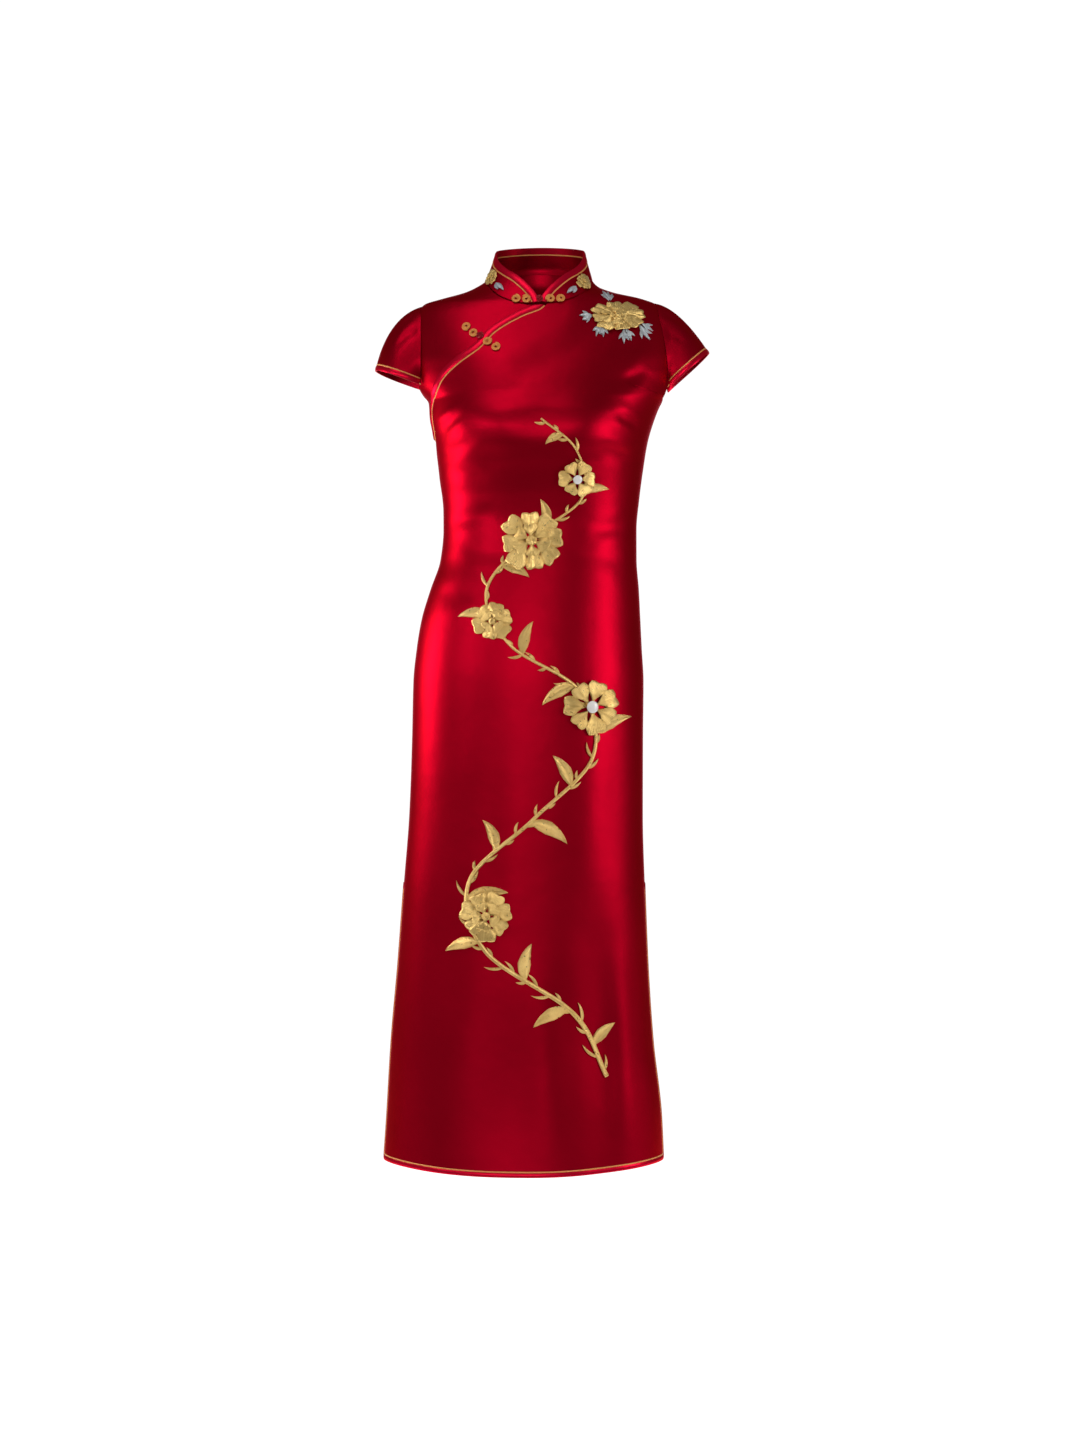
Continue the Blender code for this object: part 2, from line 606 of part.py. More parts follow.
def coons(bottom, top, left, right):
    """Grid of points between four edges; rows run from bottom to top."""
    u = np.linspace(0.0, 1.0, len(bottom))[None, :, None]
    steps = np.linalg.norm(np.diff(left, axis=0), axis=1) + np.linalg.norm(np.diff(right, axis=0), axis=1)
    v = (np.concatenate([[0.0], np.cumsum(steps)]) / steps.sum())[:, None, None]
    across = (1 - u) * left[:, None] + u * right[:, None]
    along = (1 - v) * bottom[None] + v * top[None]
    corners = (1 - u) * (1 - v) * bottom[0] + u * (1 - v) * bottom[-1] + (1 - u) * v * top[0] + u * v * top[-1]
    return across + along - corners


def resample(points, count):
    """The same run of points with another number of even steps."""
    length = np.concatenate([[0.0], np.cumsum(np.linalg.norm(np.diff(points, axis=0), axis=1))])
    wanted = np.linspace(0.0, length[-1], count)
    return np.stack([np.interp(wanted, length, points[:, c]) for c in range(points.shape[1])], axis=1)


def slit_gap(z):
    """Half of the gap between the front and back edges of a slit."""
    return SEAM_GAP / 2.0 + SLIT_SPREAD * smooth_step((SLIT_Z - z) / (SLIT_Z - SIDE_HEM_Z))


def column_angles(face, z, inset):
    """Angles of a lower panel's columns at one height."""
    return np.linspace(-1.0, 1.0, COLUMNS[face] + 1) * seam_angle(face, z, inset)


def hem_z(angle):
    """The hem drops a little towards its middle."""
    return SIDE_HEM_Z - HEM_DROP * np.cos(angle) ** 2


def chest_row(face):
    """The row that the lower and upper parts of a panel share."""
    return skin(face, column_angles(face, CHEST_Z, SEAM_GAP / 2.0), CHEST_Z)


def slit_rows():
    """Heights at the side seam of the rows beside a slit, from its top down to the hem piping."""
    inset = HEM_BIND + PIPING_SLOT
    return np.linspace(SLIT_Z - inset, SIDE_HEM_Z + inset, SLIT_STEPS + 1)


def lower_rows(face):
    """Angles and heights of a lower panel, from the hem piping up to the chest line."""
    seam = np.concatenate([np.linspace(CHEST_Z, WAIST_Z, 7), np.linspace(WAIST_Z, SLIT_Z + 0.001, 8)[1:]])
    angle = [column_angles(face, z, SEAM_GAP / 2.0) for z in seam]
    height = [np.full(COLUMNS[face] + 1, z) for z in seam]
    inset = HEM_BIND + PIPING_SLOT
    rows = slit_rows()
    for z in rows:
        turn = column_angles(face, z, inset + slit_gap(z))
        share = (rows[0] - z) / (rows[0] - rows[-1])
        angle.append(turn)
        height.append(rows[0] + (hem_z(turn) + inset - rows[0]) * share)
    return np.array(angle)[::-1], np.array(height)[::-1]


def panel(name, face, upper):
    """One panel from its hem up; upper is its grid of points from the chest line up."""
    angle, z = lower_rows(face)
    upper_angle, upper_z = settle(face, upper)
    angle = np.concatenate([angle, upper_angle[1:]])
    z = np.concatenate([z, upper_z[1:]])
    lift = 0.0
    if face == "front":
        seen = skin(face, angle, z)
        lift = opening_lift(seen[..., 0], seen[..., 2])
    return cloth(name, face, angle, z, lift)


def neck_edge(face, start, end, count):
    """Points of the neckline between two turns."""
    turns = np.linspace(start, end, count)
    return np.array([neck_ring(turn) for turn in turns])


def make_front():
    shoulder = 6
    edge = skin("front", *opening_side(-PIPING_SLOT / 2.0))[::-1]
    last = edge[-1] - edge[-2]
    meet = edge[-1][0] + last[0] / last[2] * (neck_line_z(edge[-1][0]) - edge[-1][2])
    start = math.asin((meet - NECK_X) / NECK_HALF)
    neck = neck_edge("front", start, math.pi / 2, COLUMNS["front"] - shoulder + 1)
    bottom = chest_row("front")
    edge[-1] = neck[0]
    edge = np.concatenate([bottom[:1], edge])
    right = edge_points("front", side_stations("left"))
    top = np.concatenate([neck, edge_points("front", shoulder_stations("left", shoulder))[::-1][1:]])
    right[0], top[-1] = bottom[-1], right[-1]
    item = panel("front", "front", coons(bottom, top, edge, right))
    spots = [v.co for v in item.data.vertices]
    FACETS["front"] = BVHTree.FromPolygons(spots, [tuple(p.vertices) for p in item.data.polygons])


def make_back():
    shoulder = 3
    neck = neck_edge("back", -math.pi / 2, -3 * math.pi / 2, COLUMNS["back"] - 2 * shoulder + 1)
    right_shoulder = edge_points("back", shoulder_stations("right", shoulder))
    left_shoulder = edge_points("back", shoulder_stations("left", shoulder))[::-1]
    top = np.concatenate([right_shoulder[:-1], neck, left_shoulder[1:]])
    bottom = chest_row("back")
    left = edge_points("back", side_stations("right"))
    right = edge_points("back", side_stations("left"))
    panel("back", "back", coons(bottom, top, left, right))


def make_under_front():
    columns, shoulder = 12, 3
    stations = side_stations("right")
    stations[0] = (-SHAPE["right"](UNDER_FRONT_Z), UNDER_FRONT_Z)
    side = edge_points("front", stations)
    inner = skin("front", *opening_side(-OVERLAP))[::-1]
    end_turn = math.asin((inner[-1][0] - NECK_X) / NECK_HALF)
    neck = neck_edge("front", -math.pi / 2, end_turn, columns - shoulder + 1)
    inner[-1] = neck[-1]
    bottom = np.linspace(side[0], inner[0], columns + 1)
    top = np.concatenate([edge_points("front", shoulder_stations("right", shoulder))[:-1], neck])
    angle, z = settle("front", coons(bottom, top, side, resample(inner, len(side))))
    spot = skin("front", angle, z)
    stretch = np.linalg.norm(np.diff(spot, axis=1), axis=2)
    from_inner = np.concatenate([np.cumsum(stretch[:, ::-1], axis=1)[:, ::-1], np.zeros((len(z), 1))], axis=1)
    dip = -OVERLAP_DIP * smooth_step((OVERLAP + OPENING_BIND + 0.006 - from_inner) / 0.010)
    cloth("under_front", "front", angle, z, dip)


# Bindings and pipings of the panels

def edge_strip(name, face, outer, inner, lift=0.0):
    """Binding between two runs of angles and heights."""
    angle = np.stack([outer[0], inner[0]], axis=1)
    z = np.stack([outer[1], inner[1]], axis=1)
    return cloth(name, face, angle, z, np.broadcast_to(np.asarray(lift), angle.shape), BIND_THICK, "binding")


def edge_cord(name, face, angle, z, lift=0.0):
    """Piping along a run of angles and heights."""
    centres = surface(face, angle, z, lift)
    normals = surface(face, angle, z, lift + 0.001) - centres
    return add_cord(name, centres, normals, PIPING_RADIUS, "piping")


def hem_run(face, inset, clip):
    """Run down one slit, along the hem and up the other slit, its inset from the edges."""
    rows = slit_rows()
    rows = np.concatenate([[SLIT_Z - clip], rows[1:-1], [SIDE_HEM_Z + inset]])
    right = -seam_angle(face, rows, inset + slit_gap(rows))
    left = seam_angle(face, rows[::-1], inset + slit_gap(rows[::-1]))
    turn = column_angles(face, SIDE_HEM_Z + inset, inset + slit_gap(SIDE_HEM_Z))[1:-1]
    angle = np.concatenate([right, turn, left])
    height = np.concatenate([rows, hem_z(turn) + inset, rows[::-1]])
    corner = len(rows) - 1
    height[corner] = hem_z(right[-1]) + inset
    height[-corner - 1] = hem_z(left[0]) + inset
    return angle, height


def make_hem_trim(face):
    edge_strip(f"{face}_binding", face, hem_run(face, 0.0, SEAM_GAP), hem_run(face, HEM_BIND, HEM_BIND))
    middle = HEM_BIND + PIPING_SLOT / 2.0
    edge_cord(f"{face}_piping", face, *hem_run(face, middle, middle + 2.0 * PIPING_RADIUS))


def make_opening_trim():
    outer_angle, outer_z = opening_side(PIPING_SLOT / 2.0 + OPENING_BIND)
    inner_angle, inner_z = opening_side(PIPING_SLOT / 2.0)
    limit = neck_line_z(skin("front", outer_angle, outer_z)[:, 0]) - NECK_CLEAR
    outer = outer_angle[:-1], np.minimum(outer_z, limit)[:-1]
    edge_strip("opening_binding", "front", outer, (inner_angle[:-1], inner_z[:-1]), OVERLAP_LIFT)
    angle, z = opening_side(0.0)
    edge_cord("opening_piping", "front", angle[:-1], z[:-1], OVERLAP_LIFT)


# Sleeves

def sleeve_base(side):
    """Armhole edge from the front notch over the shoulder tip to the back notch."""
    stations = side_stations(side)[SIDE_ROWS + NOTCH :]
    front = edge_points("front", stations)
    back = edge_points("back", stations)[::-1]
    front[-1] = (front[-1] + back[0]) / 2.0
    return np.concatenate([front, back[1:]])


def sleeve_rows(side):
    """Points, and lengths, of fine runs from the armhole to the hem, one for each station."""
    sleeve = SLEEVES[side]
    sign = 1.0 if side == "left" else -1.0
    base = sleeve_base(side)
    count = len(base)
    runs = []
    for k, start in enumerate(base):
        turn = (k / (count - 1) - 0.5) * math.pi
        reach = math.cos(turn)
        depth = HEM_DEPTH_END * math.sin(turn) + HEM_DEPTH_BULGE * math.sin(2.0 * turn)
        clear = SLEEVE_CLEAR_TIP + (SLEEVE_CLEAR_NOTCH - SLEEVE_CLEAR_TIP) * (1.0 - reach)
        start = start + np.array([sign * clear, 0.0, 0.0])
        end = np.array([
            sign * (sleeve.x_in + (sleeve.x_out - sleeve.x_in) * reach),
            depth,
            sleeve.z_in + (sleeve.z_out - sleeve.z_in) * reach,
        ])
        leave = np.array([sign * sleeve.reach_top * reach, 0.0, -sleeve.fall_top * reach])
        arrive = np.array([sign * sleeve.reach_hem * reach, 0.0, -sleeve.fall_hem * reach])
        t = np.linspace(0.0, 1.0, 25)[:, None]
        run = (
            start * (1 + 2 * t) * (1 - t) ** 2 + end * t * t * (3 - 2 * t)
            + leave * t * (1 - t) ** 2 + arrive * t * t * (t - 1)
        )
        runs.append(run)
    return np.array(runs)


def at_length(run, wanted):
    """Points at the given lengths along one run."""
    length = np.concatenate([[0.0], np.cumsum(np.linalg.norm(np.diff(run, axis=0), axis=1))])
    return np.stack([np.interp(wanted, length, run[:, c]) for c in range(3)], axis=1)


def grid_normals(grid, outward):
    """Normals of a grid of points, on the side that the outward direction shows."""
    normal = unit(np.cross(np.gradient(grid, axis=0), np.gradient(grid, axis=1)))
    facing = np.sign((normal * outward).sum(-1).mean())
    return normal * facing


def make_sleeve(side):
    runs = sleeve_rows(side)
    sign = 1.0 if side == "left" else -1.0
    lengths = np.linalg.norm(np.diff(runs, axis=1), axis=2).sum(1)
    edge = SLEEVE_BIND + PIPING_SLOT
    shares = np.linspace(0.0, 1.0, 5)
    cloth_grid = np.array([at_length(run, shares * (size - edge)) for run, size in zip(runs, lengths)])
    bind_grid = np.array([at_length(run, [size - SLEEVE_BIND, size]) for run, size in zip(runs, lengths)])
    inset = SLEEVE_BIND + PIPING_SLOT / 2.0
    cord = np.array([at_length(run, [size - inset])[0] for run, size in zip(runs, lengths)])
    whole = np.concatenate([cloth_grid, cord[:, None], bind_grid], axis=1)
    normal = grid_normals(whole, np.array([sign, 0.0, 0.5]))
    cloth_normal, cord_normal, bind_normal = normal[:, :5], normal[:, 5], normal[:, 6:]
    half, bind_half = WALL / 2.0, BIND_THICK / 2.0
    add_wall(f"sleeve_{side}", cloth_grid + cloth_normal * half, cloth_grid - cloth_normal * half, "satin")
    bind_shift = bind_normal * bind_half
    add_wall(f"sleeve_binding_{side}", bind_grid + bind_shift, bind_grid - bind_shift, "binding")
    add_cord(f"sleeve_piping_{side}", cord, cord_normal, PIPING_RADIUS, "piping")


# Collar

def collar_top(turn):
    """Upper rim of the collar at its full height."""
    face, _, z = neck_point(turn)
    depth = COLLAR_TOP_FRONT if face == "front" else COLLAR_TOP_BACK
    rise = COLLAR_TOP_RISE - (COLLAR_BACK_FALL * max(0.0, -math.cos(turn)))
    return np.array([COLLAR_TOP_X + COLLAR_TOP_HALF * math.sin(turn), -depth * math.cos(turn), z + rise])


COLLAR_TURNS = np.linspace(0.0, math.pi, 73)


def collar_base(turn):
    """Foot of the collar: it follows the panels' neck edges, and rises over the flap near the front."""
    step = math.pi / 2.0 / NECK_STEPS
    low = math.floor(turn / step) * step
    share = (turn - low) / step
    spots = []
    for spot_turn in (low, low + step):
        spot_turn = min(max(spot_turn, -math.pi), math.pi)
        face, x, z = neck_point(spot_turn)
        point = neck_ring(spot_turn)
        if face == "front":
            angle, height = settle("front", point)
            near = neck_lift(x, z)
            point = surface("front", angle, height, near)
        spots.append(point)
    return spots[0] * (1.0 - share) + spots[1] * share + np.array([0.0, 0.0, COLLAR_LIFT])


def neck_lift(x, z):
    """How far the collar's foot is raised near the front opening."""
    if x > OPENING[0].x:
        return float(opening_lift(x, z))
    return float(OVERLAP_LIFT * (1.0 - smooth_step((OPENING[0].x - x) / LIFT_NEAR)))


def collar_lengths(sign):
    """Level length along the neckline from the middle of the front, for each of the collar's turns."""
    ring = np.array([collar_base(sign * turn) for turn in COLLAR_TURNS])
    return np.concatenate([[0.0], np.cumsum(np.linalg.norm(np.diff(ring[:, :2], axis=0), axis=1))])


COLLAR_LENGTHS = {-1.0: collar_lengths(-1.0), 1.0: collar_lengths(1.0)}


def collar_spot(along, height):
    """Point of the collar's middle surface: along runs from the front middle, negative to the right."""
    sign = -1.0 if along < 0.0 else 1.0
    turn = sign * np.interp(abs(along), COLLAR_LENGTHS[sign], COLLAR_TURNS)
    base = collar_base(turn)
    return base + unit(collar_top(turn) - base) * height


def collar_slopes(along, height):
    """How the point moves with the length and with the height, kept on one side of the front middle."""
    step = 0.002
    sign = -1.0 if along < 0.0 else 1.0
    inner = sign * max(abs(along), step)
    by_length = collar_spot(inner + step, height) - collar_spot(inner - step, height)
    by_height = collar_spot(inner, height + step) - collar_spot(inner, height - step)
    return by_length / (2.0 * step), by_height / (2.0 * step)


def collar_point(along, height, out=0.0):
    """Point of the collar, moved out from its middle surface."""
    by_length, by_height = collar_slopes(along, height)
    return collar_spot(along, height) + unit(np.cross(by_length, by_height)) * out


def collar_height(along):
    """Height of the collar's edge, rounded down to nothing at its front ends."""
    turn = np.interp(along, COLLAR_LENGTHS[1.0], COLLAR_TURNS)
    full = np.linalg.norm(collar_top(turn) - collar_base(turn))
    share = min(along / COLLAR_END, 1.0)
    return full * (1.0 - (1.0 - share) ** COLLAR_END_POWER) ** (1.0 / COLLAR_END_POWER)


def collar_foot(along):
    """Height of the collar's foot at a level length from the front middle, right side negative."""
    sign = math.copysign(1.0, along)
    return collar_base(sign * np.interp(abs(along), COLLAR_LENGTHS[sign], COLLAR_TURNS))[2]


def collar_edge(inset, count):
    """The collar's edge, moved in over the cloth, as length and height, from the front end to the back."""
    total = COLLAR_LENGTHS[1.0][-1]
    stations = COLLAR_FRONT_GAP + (total - COLLAR_FRONT_GAP) * np.linspace(0.0, 1.0, count) ** COLLAR_CROWD
    line = [(along, collar_height(along)) for along in stations]
    runs = unit(np.gradient(np.array([collar_spot(*spot) for spot in line]), axis=0))
    legs = 4
    moved = []
    for (along, height), run in zip(line, runs):
        for _ in range(legs):
            by_length, by_height = collar_slopes(along, height)
            inward = unit(np.cross(run, np.cross(by_length, by_height)))
            along, height = np.array([along, height]) + np.linalg.lstsq(
                np.stack([by_length, by_height], axis=1), inward * inset / legs, rcond=None
            )[0]
        moved.append((min(max(along, COLLAR_FRONT_GAP), total), max(height, 0.0)))
    return np.array(moved)


def both_sides(line):
    """Runs a line of lengths and heights from the right front round the back to the left front."""
    total = COLLAR_LENGTHS[1.0][-1]
    right = [(-a * COLLAR_LENGTHS[-1.0][-1] / total, h) for a, h in line]
    left = [(a, h) for a, h in line[::-1][1:]]
    return right + left


def collar_wall(name, low, high, rows, thick, finish):
    """Wall of the collar between two lines of lengths and heights."""
    outer, inner = [], []
    for share in np.linspace(0.0, 1.0, rows):
        middle = [(a + (c - a) * share, b + (d - b) * share) for (a, b), (c, d) in zip(low, high)]
        outer.append([collar_point(a, h, thick / 2.0) for a, h in middle])
        inner.append([collar_point(a, h, -thick / 2.0) for a, h in middle])
    return add_wall(name, np.array(outer), np.array(inner), finish)


def make_collar():
    count = COLLAR_COLUMNS // 2
    top = [(a, h) for a, h in collar_edge(COLLAR_BIND + PIPING_SLOT, count) if h > 0.0015]
    low = [(a, 0.0) for a, _ in top]
    collar_wall("collar", both_sides(low), both_sides(top), 3, WALL, "satin")
    outer, inner = collar_edge(0.0, count), collar_edge(COLLAR_BIND, count)
    collar_wall("collar_binding", both_sides(inner), both_sides(outer), 2, BIND_THICK, "binding")
    middle = collar_edge(COLLAR_BIND + PIPING_SLOT / 2.0, count)
    run = both_sides([(a, h) for a, h in middle if h > PIPING_RADIUS])
    centres = np.array([collar_point(a, h) for a, h in run])
    normals = np.array([collar_point(a, h, 0.001) for a, h in run]) - centres
    add_cord("collar_piping", centres, normals, PIPING_RADIUS, "piping")


# Where things are laid

def on_front(x, z, out):
    """Point over the main front, from its place as seen from the front, clear of the panel's flat facets."""
    x, z, out = np.broadcast_arrays(np.asarray(x, float), np.asarray(z, float), np.asarray(out, float))
    angle = angle_at("front", x, z)
    lift = opening_lift(x, z)
    cloth_face = surface("front", angle, z, lift + WALL / 2.0)
    normal = unit(surface("front", angle, z, lift + 0.01) - cloth_face)
    tree = FACETS["front"]
    over = np.zeros(x.shape)
    for k in np.ndindex(x.shape):
        hit = tree.ray_cast(Vector((x[k], -1.0, z[k])), Vector((0.0, 1.0, 0.0)))[0]
        if hit is not None:
            over[k] = max(0.0, float((np.array(hit) - cloth_face[k]) @ normal[k]))
    return surface("front", angle, z, out + lift + over)


def on_under_front(x, z, out):
    return surface("front", angle_at("front", x, z), z, out)


def on_collar_foot(x, z, out):
    """Point over the front of the collar, from its place as seen from the front."""
    turn = math.asin((x - NECK_X) / NECK_HALF)
    along = math.copysign(np.interp(abs(turn), COLLAR_TURNS, COLLAR_LENGTHS[math.copysign(1.0, turn)]), turn)
    base = collar_base(turn)
    rise = unit(collar_top(turn) - base)
    return collar_point(along, (z - base[2]) / rise[2], out)


def on_collar(along, level, out):
    """Points over the collar, from level lengths round it and heights over the origin."""
    along, level, out = np.broadcast_arrays(along, level, out)
    spots = zip(along.flat, level.flat, out.flat)
    return np.array([collar_point(a, h - collar_foot(a), o) for a, h, o in spots])


PLACES = {"front": on_front, "under": on_under_front, "foot": on_collar_foot, "collar": on_collar}


FACETS = {}


def frame_at(place, x, z, out):
    """Origin, two directions along the cloth and the outward one over a spot."""
    step = 0.002
    origin = np.ravel(place(x, z, out))
    across = unit(np.ravel(place(x + step, z, out)) - np.ravel(place(x - step, z, out)))
    normal = unit(np.ravel(place(x, z, out + step)) - origin)
    return origin, across, np.cross(normal, across), normal


# Frogs

def make_frogs():
    for coil in COILS:
        frame = frame_at(PLACES[coil.place], coil.x, coil.z, coil.out)
        add_turned(coil.name, frame, COIL_PROFILE, "coil", 10)
    for knot in KNOTS:
        origin, across, up, out = frame = frame_at(PLACES[knot.place], knot.x, knot.z, knot.out)
        add_turned(f"{knot.name}_knot", frame, KNOT_PROFILE, "binding", 10)
        turns = np.radians(knot.heading + np.linspace(-LOOP_SWEEP, LOOP_SWEEP, 10))
        lift = origin + out * LOOP_RISE
        centres = [lift + (across * math.cos(t) + up * math.sin(t)) * LOOP_REACH for t in turns]
        add_cord(f"{knot.name}_loop", centres, [out] * len(centres), PIPING_RADIUS, "binding")


# Raised flowers and leaves

def add_applique(name, place, outlines, ridges, finish, level=0):
    """Raised plate over the union of its outlines, high along its ridges and thin at its edges."""
    points, polygons, lines = [], [], []
    for outline in outlines:
        polygons.append(list(range(len(points), len(points) + len(outline))))
        points.extend(outline)
    first_ridge = len(points)
    for ridge in ridges:
        lines.extend((len(points) + k, len(points) + k + 1) for k in range(len(ridge) - 1))
        points.extend(ridge)
    flat = [Vector((x * 1000.0, z * 1000.0)) for x, z in points]
    spots, _, triangles, sources, _, owners = delaunay_2d_cdt(flat, lines, polygons, 0, 0.01, True)
    kept = [tuple(triangle) for triangle, owner in zip(triangles, owners) if owner]
    used = sorted({k for triangle in kept for k in triangle})
    index = {k: i for i, k in enumerate(used)}
    x = np.array([spots[k][0] for k in used]) / 1000.0
    z = np.array([spots[k][1] for k in used]) / 1000.0
    raised = np.array([any(source >= first_ridge for source in sources[k]) for k in used])
    bottom = WALL / 2.0 + APPLIQUE_GAP + level * APPLIQUE_STEP
    top = bottom + np.where(raised, APPLIQUE_RIDGE, APPLIQUE_EDGE)
    solid = np.concatenate([place(x, z, top), place(x, z, np.full(len(used), bottom))])
    offset = len(used)
    faces, edges = [], set()
    for triangle in kept:
        a, b, c = (index[k] for k in triangle)
        faces.append((a, b, c))
        faces.append((offset + c, offset + b, offset + a))
        edges.update([(a, b), (b, c), (c, a)])
    for a, b in sorted(edges):
        if (b, a) not in edges:
            faces.append((b, a, offset + a, offset + b))
    return add_object(name, solid, faces, finish)


def leaf(x, z, heading, length, width, bend=0.0):
    """Outline and midrib of a pointed leaf that starts at x and z; angles in degrees."""
    shares = [0.0, 0.22, 0.45, 0.70, 1.0]
    girth = [0.16, 0.80, 1.00, 0.68, 0.0]
    middle = [np.array([x, z])]
    across = []
    for k, share in enumerate(shares):
        turn = math.radians(heading + bend * share)
        across.append(np.array([-math.sin(turn), math.cos(turn)]) * width / 2.0 * girth[k])
        if k + 1 < len(shares):
            turn = math.radians(heading + bend * (share + shares[k + 1]) / 2.0)
            stride = length * (shares[k + 1] - share)
            middle.append(middle[-1] + np.array([math.cos(turn), math.sin(turn)]) * stride)
    right = [m - a for m, a in zip(middle[:-1], across)]
    left = [m + a for m, a in zip(middle[:-1], across)]
    return [tuple(p) for p in right + [middle[-1]] + left[::-1]], [tuple(p) for p in middle[1:-1]]


def blossom(x, z, wide, tall, petals, start=0.0):
    """Outlines and midribs of a ring of notched petals and their heart."""
    outlines, ridges = [], []
    spread = math.pi / petals * PETAL_OVERLAP

    def spot(reach, turn):
        return (x + wide * reach * math.cos(turn), z + tall * reach * math.sin(turn))

    for k in range(petals):
        middle = start + 2.0 * math.pi * k / petals
        grow = 1.0 + PETAL_VARIATION * math.sin(2.7 * k + start)
        outlines.append([spot(rim.reach * grow, middle + spread * rim.swing) for rim in PETAL])
        ridges.append([spot(0.40 * grow, middle), spot(0.74 * grow, middle)])
    heart = np.linspace(0.0, 2.0 * math.pi, 7)[:-1] + start + 0.1
    outlines.append([spot(HEART_REACH, turn) for turn in heart])
    ridges.append([(x, z)])
    return outlines, ridges


def stroke(points, width_start, width_end, count):
    """Outline and middle of a curved band that narrows along its run."""
    line = along_curve(points, count)
    run = unit(np.gradient(line, axis=0))
    half = np.linspace(width_start, width_end, count)[:, None] / 2.0
    side = np.stack([-run[:, 1], run[:, 0]], axis=1) * half
    outline = [tuple(p) for p in np.concatenate([line - side, (line + side)[::-1]])]
    return outline, [tuple(p) for p in line[1:-1]]


def spray(rows):
    """Outlines and midribs of several leaves."""
    shapes = [leaf(*row) for row in rows]
    return [outline for outline, _ in shapes], [ridge for _, ridge in shapes]


def make_shoulder_flower():
    x, z, wide, tall = SHOULDER_FLOWER
    for k, cluster in enumerate(SHOULDER_LEAVES):
        add_applique(f"shoulder_leaf_{k + 1}", on_front, *spray(cluster), "silver")
    for k, (share, petals, start) in enumerate(SHOULDER_RINGS):
        shapes = blossom(x, z, wide * share, tall * share, petals, start)
        add_applique(f"shoulder_flower_{k + 1}", on_front, *shapes, "gold", k + 1)


def make_collar_flowers():
    for flower in COLLAR_FLOWERS:
        add_applique(f"collar_leaf_{flower.side}", on_collar, *spray(flower.leaves), "silver")
        outlines, ridges = blossom(flower.along, flower.level, flower.size, flower.size, 6, 0.4)
        add_applique(f"collar_flower_{flower.side}", on_collar, outlines, ridges, "gold")


def make_ornament():
    stem, rib = stroke(VINE, VINE_WIDTH_LOW, VINE_WIDTH_TOP, VINE_STEPS)
    outlines, ridges = [stem], [rib]
    line = along_curve(VINE, VINE_STEPS)
    run = unit(np.gradient(line, axis=0))
    for sprig in VINE_LEAVES:
        k = round(sprig.share * (VINE_STEPS - 1))
        heading = math.degrees(math.atan2(run[k][1], run[k][0])) + sprig.lean
        outline, ridge = leaf(*line[k], heading, sprig.length, sprig.width, sprig.bend)
        outlines.append(outline)
        ridges.append(ridge[1:])
    add_applique("ornament_vine", on_front, outlines, ridges, "gold")
    for k, bloom in enumerate(BLOOMS):
        shapes = blossom(bloom.x, bloom.z, bloom.size, bloom.size, bloom.petals, bloom.start)
        add_applique(f"ornament_bloom_{k + 1}", on_front, *shapes, "gold", 1)
        if bloom.pearl:
            frame = frame_at(on_front, bloom.x, bloom.z, PEARL_LIFT)
            profile = [Profile(p.radius * bloom.pearl, p.height * bloom.pearl) for p in PEARL_PROFILE]
            add_turned(f"ornament_pearl_{k + 1}", frame, profile, "pearl")
        else:
            size = bloom.size * BLOOM_INNER
            shapes = blossom(bloom.x, bloom.z, size, size, bloom.petals - 2, bloom.start + 0.5)
            add_applique(f"ornament_inner_{k + 1}", on_front, *shapes, "gold", 2)


def main():
    for item in list(bpy.data.objects):
        bpy.data.objects.remove(item, do_unlink=True)
    make_front()
    make_back()
    make_under_front()
    make_opening_trim()
    for face in ("front", "back"):
        make_hem_trim(face)
    for side in ("right", "left"):
        make_sleeve(side)
    make_collar()
    make_frogs()
    make_shoulder_flower()
    make_collar_flowers()
    make_ornament()


main()
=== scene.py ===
# %% [markdown]
# A red satin cheongsam, dressed from its plain model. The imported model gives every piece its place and
# size, in metres, with the neck base at the origin and the front towards -Y. Each step below looks at one
# thing on the real dress, says how it could be made, and then makes it.

# %% Load the model that carries the dress
import math
from collections import namedtuple

import bpy
import numpy as np
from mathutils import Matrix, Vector


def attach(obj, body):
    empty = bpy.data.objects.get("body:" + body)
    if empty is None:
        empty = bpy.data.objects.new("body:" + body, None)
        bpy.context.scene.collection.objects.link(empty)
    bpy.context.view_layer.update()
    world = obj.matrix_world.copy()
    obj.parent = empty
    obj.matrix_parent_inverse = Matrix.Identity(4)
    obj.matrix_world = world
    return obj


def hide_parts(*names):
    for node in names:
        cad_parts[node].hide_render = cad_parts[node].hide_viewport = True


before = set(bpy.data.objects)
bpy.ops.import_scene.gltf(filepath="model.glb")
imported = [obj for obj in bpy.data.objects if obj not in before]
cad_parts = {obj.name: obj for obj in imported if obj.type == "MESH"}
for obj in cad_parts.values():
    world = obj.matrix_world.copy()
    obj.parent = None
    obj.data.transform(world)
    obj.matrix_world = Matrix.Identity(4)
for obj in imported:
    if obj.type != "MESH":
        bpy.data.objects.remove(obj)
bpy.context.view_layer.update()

# %% [markdown]
# The photograph looks straight at the front from far away, level with the hips. A long lens far back
# keeps the dress free of distortion, so the camera stands 4.5 m away and sees about 24 degrees of height.

# %% Camera
CAMERA_PLACE = (0.0026, -4.5, -0.582)
PICTURE_HEIGHT_ANGLE = math.radians(23.98)
SENSOR = 24.0

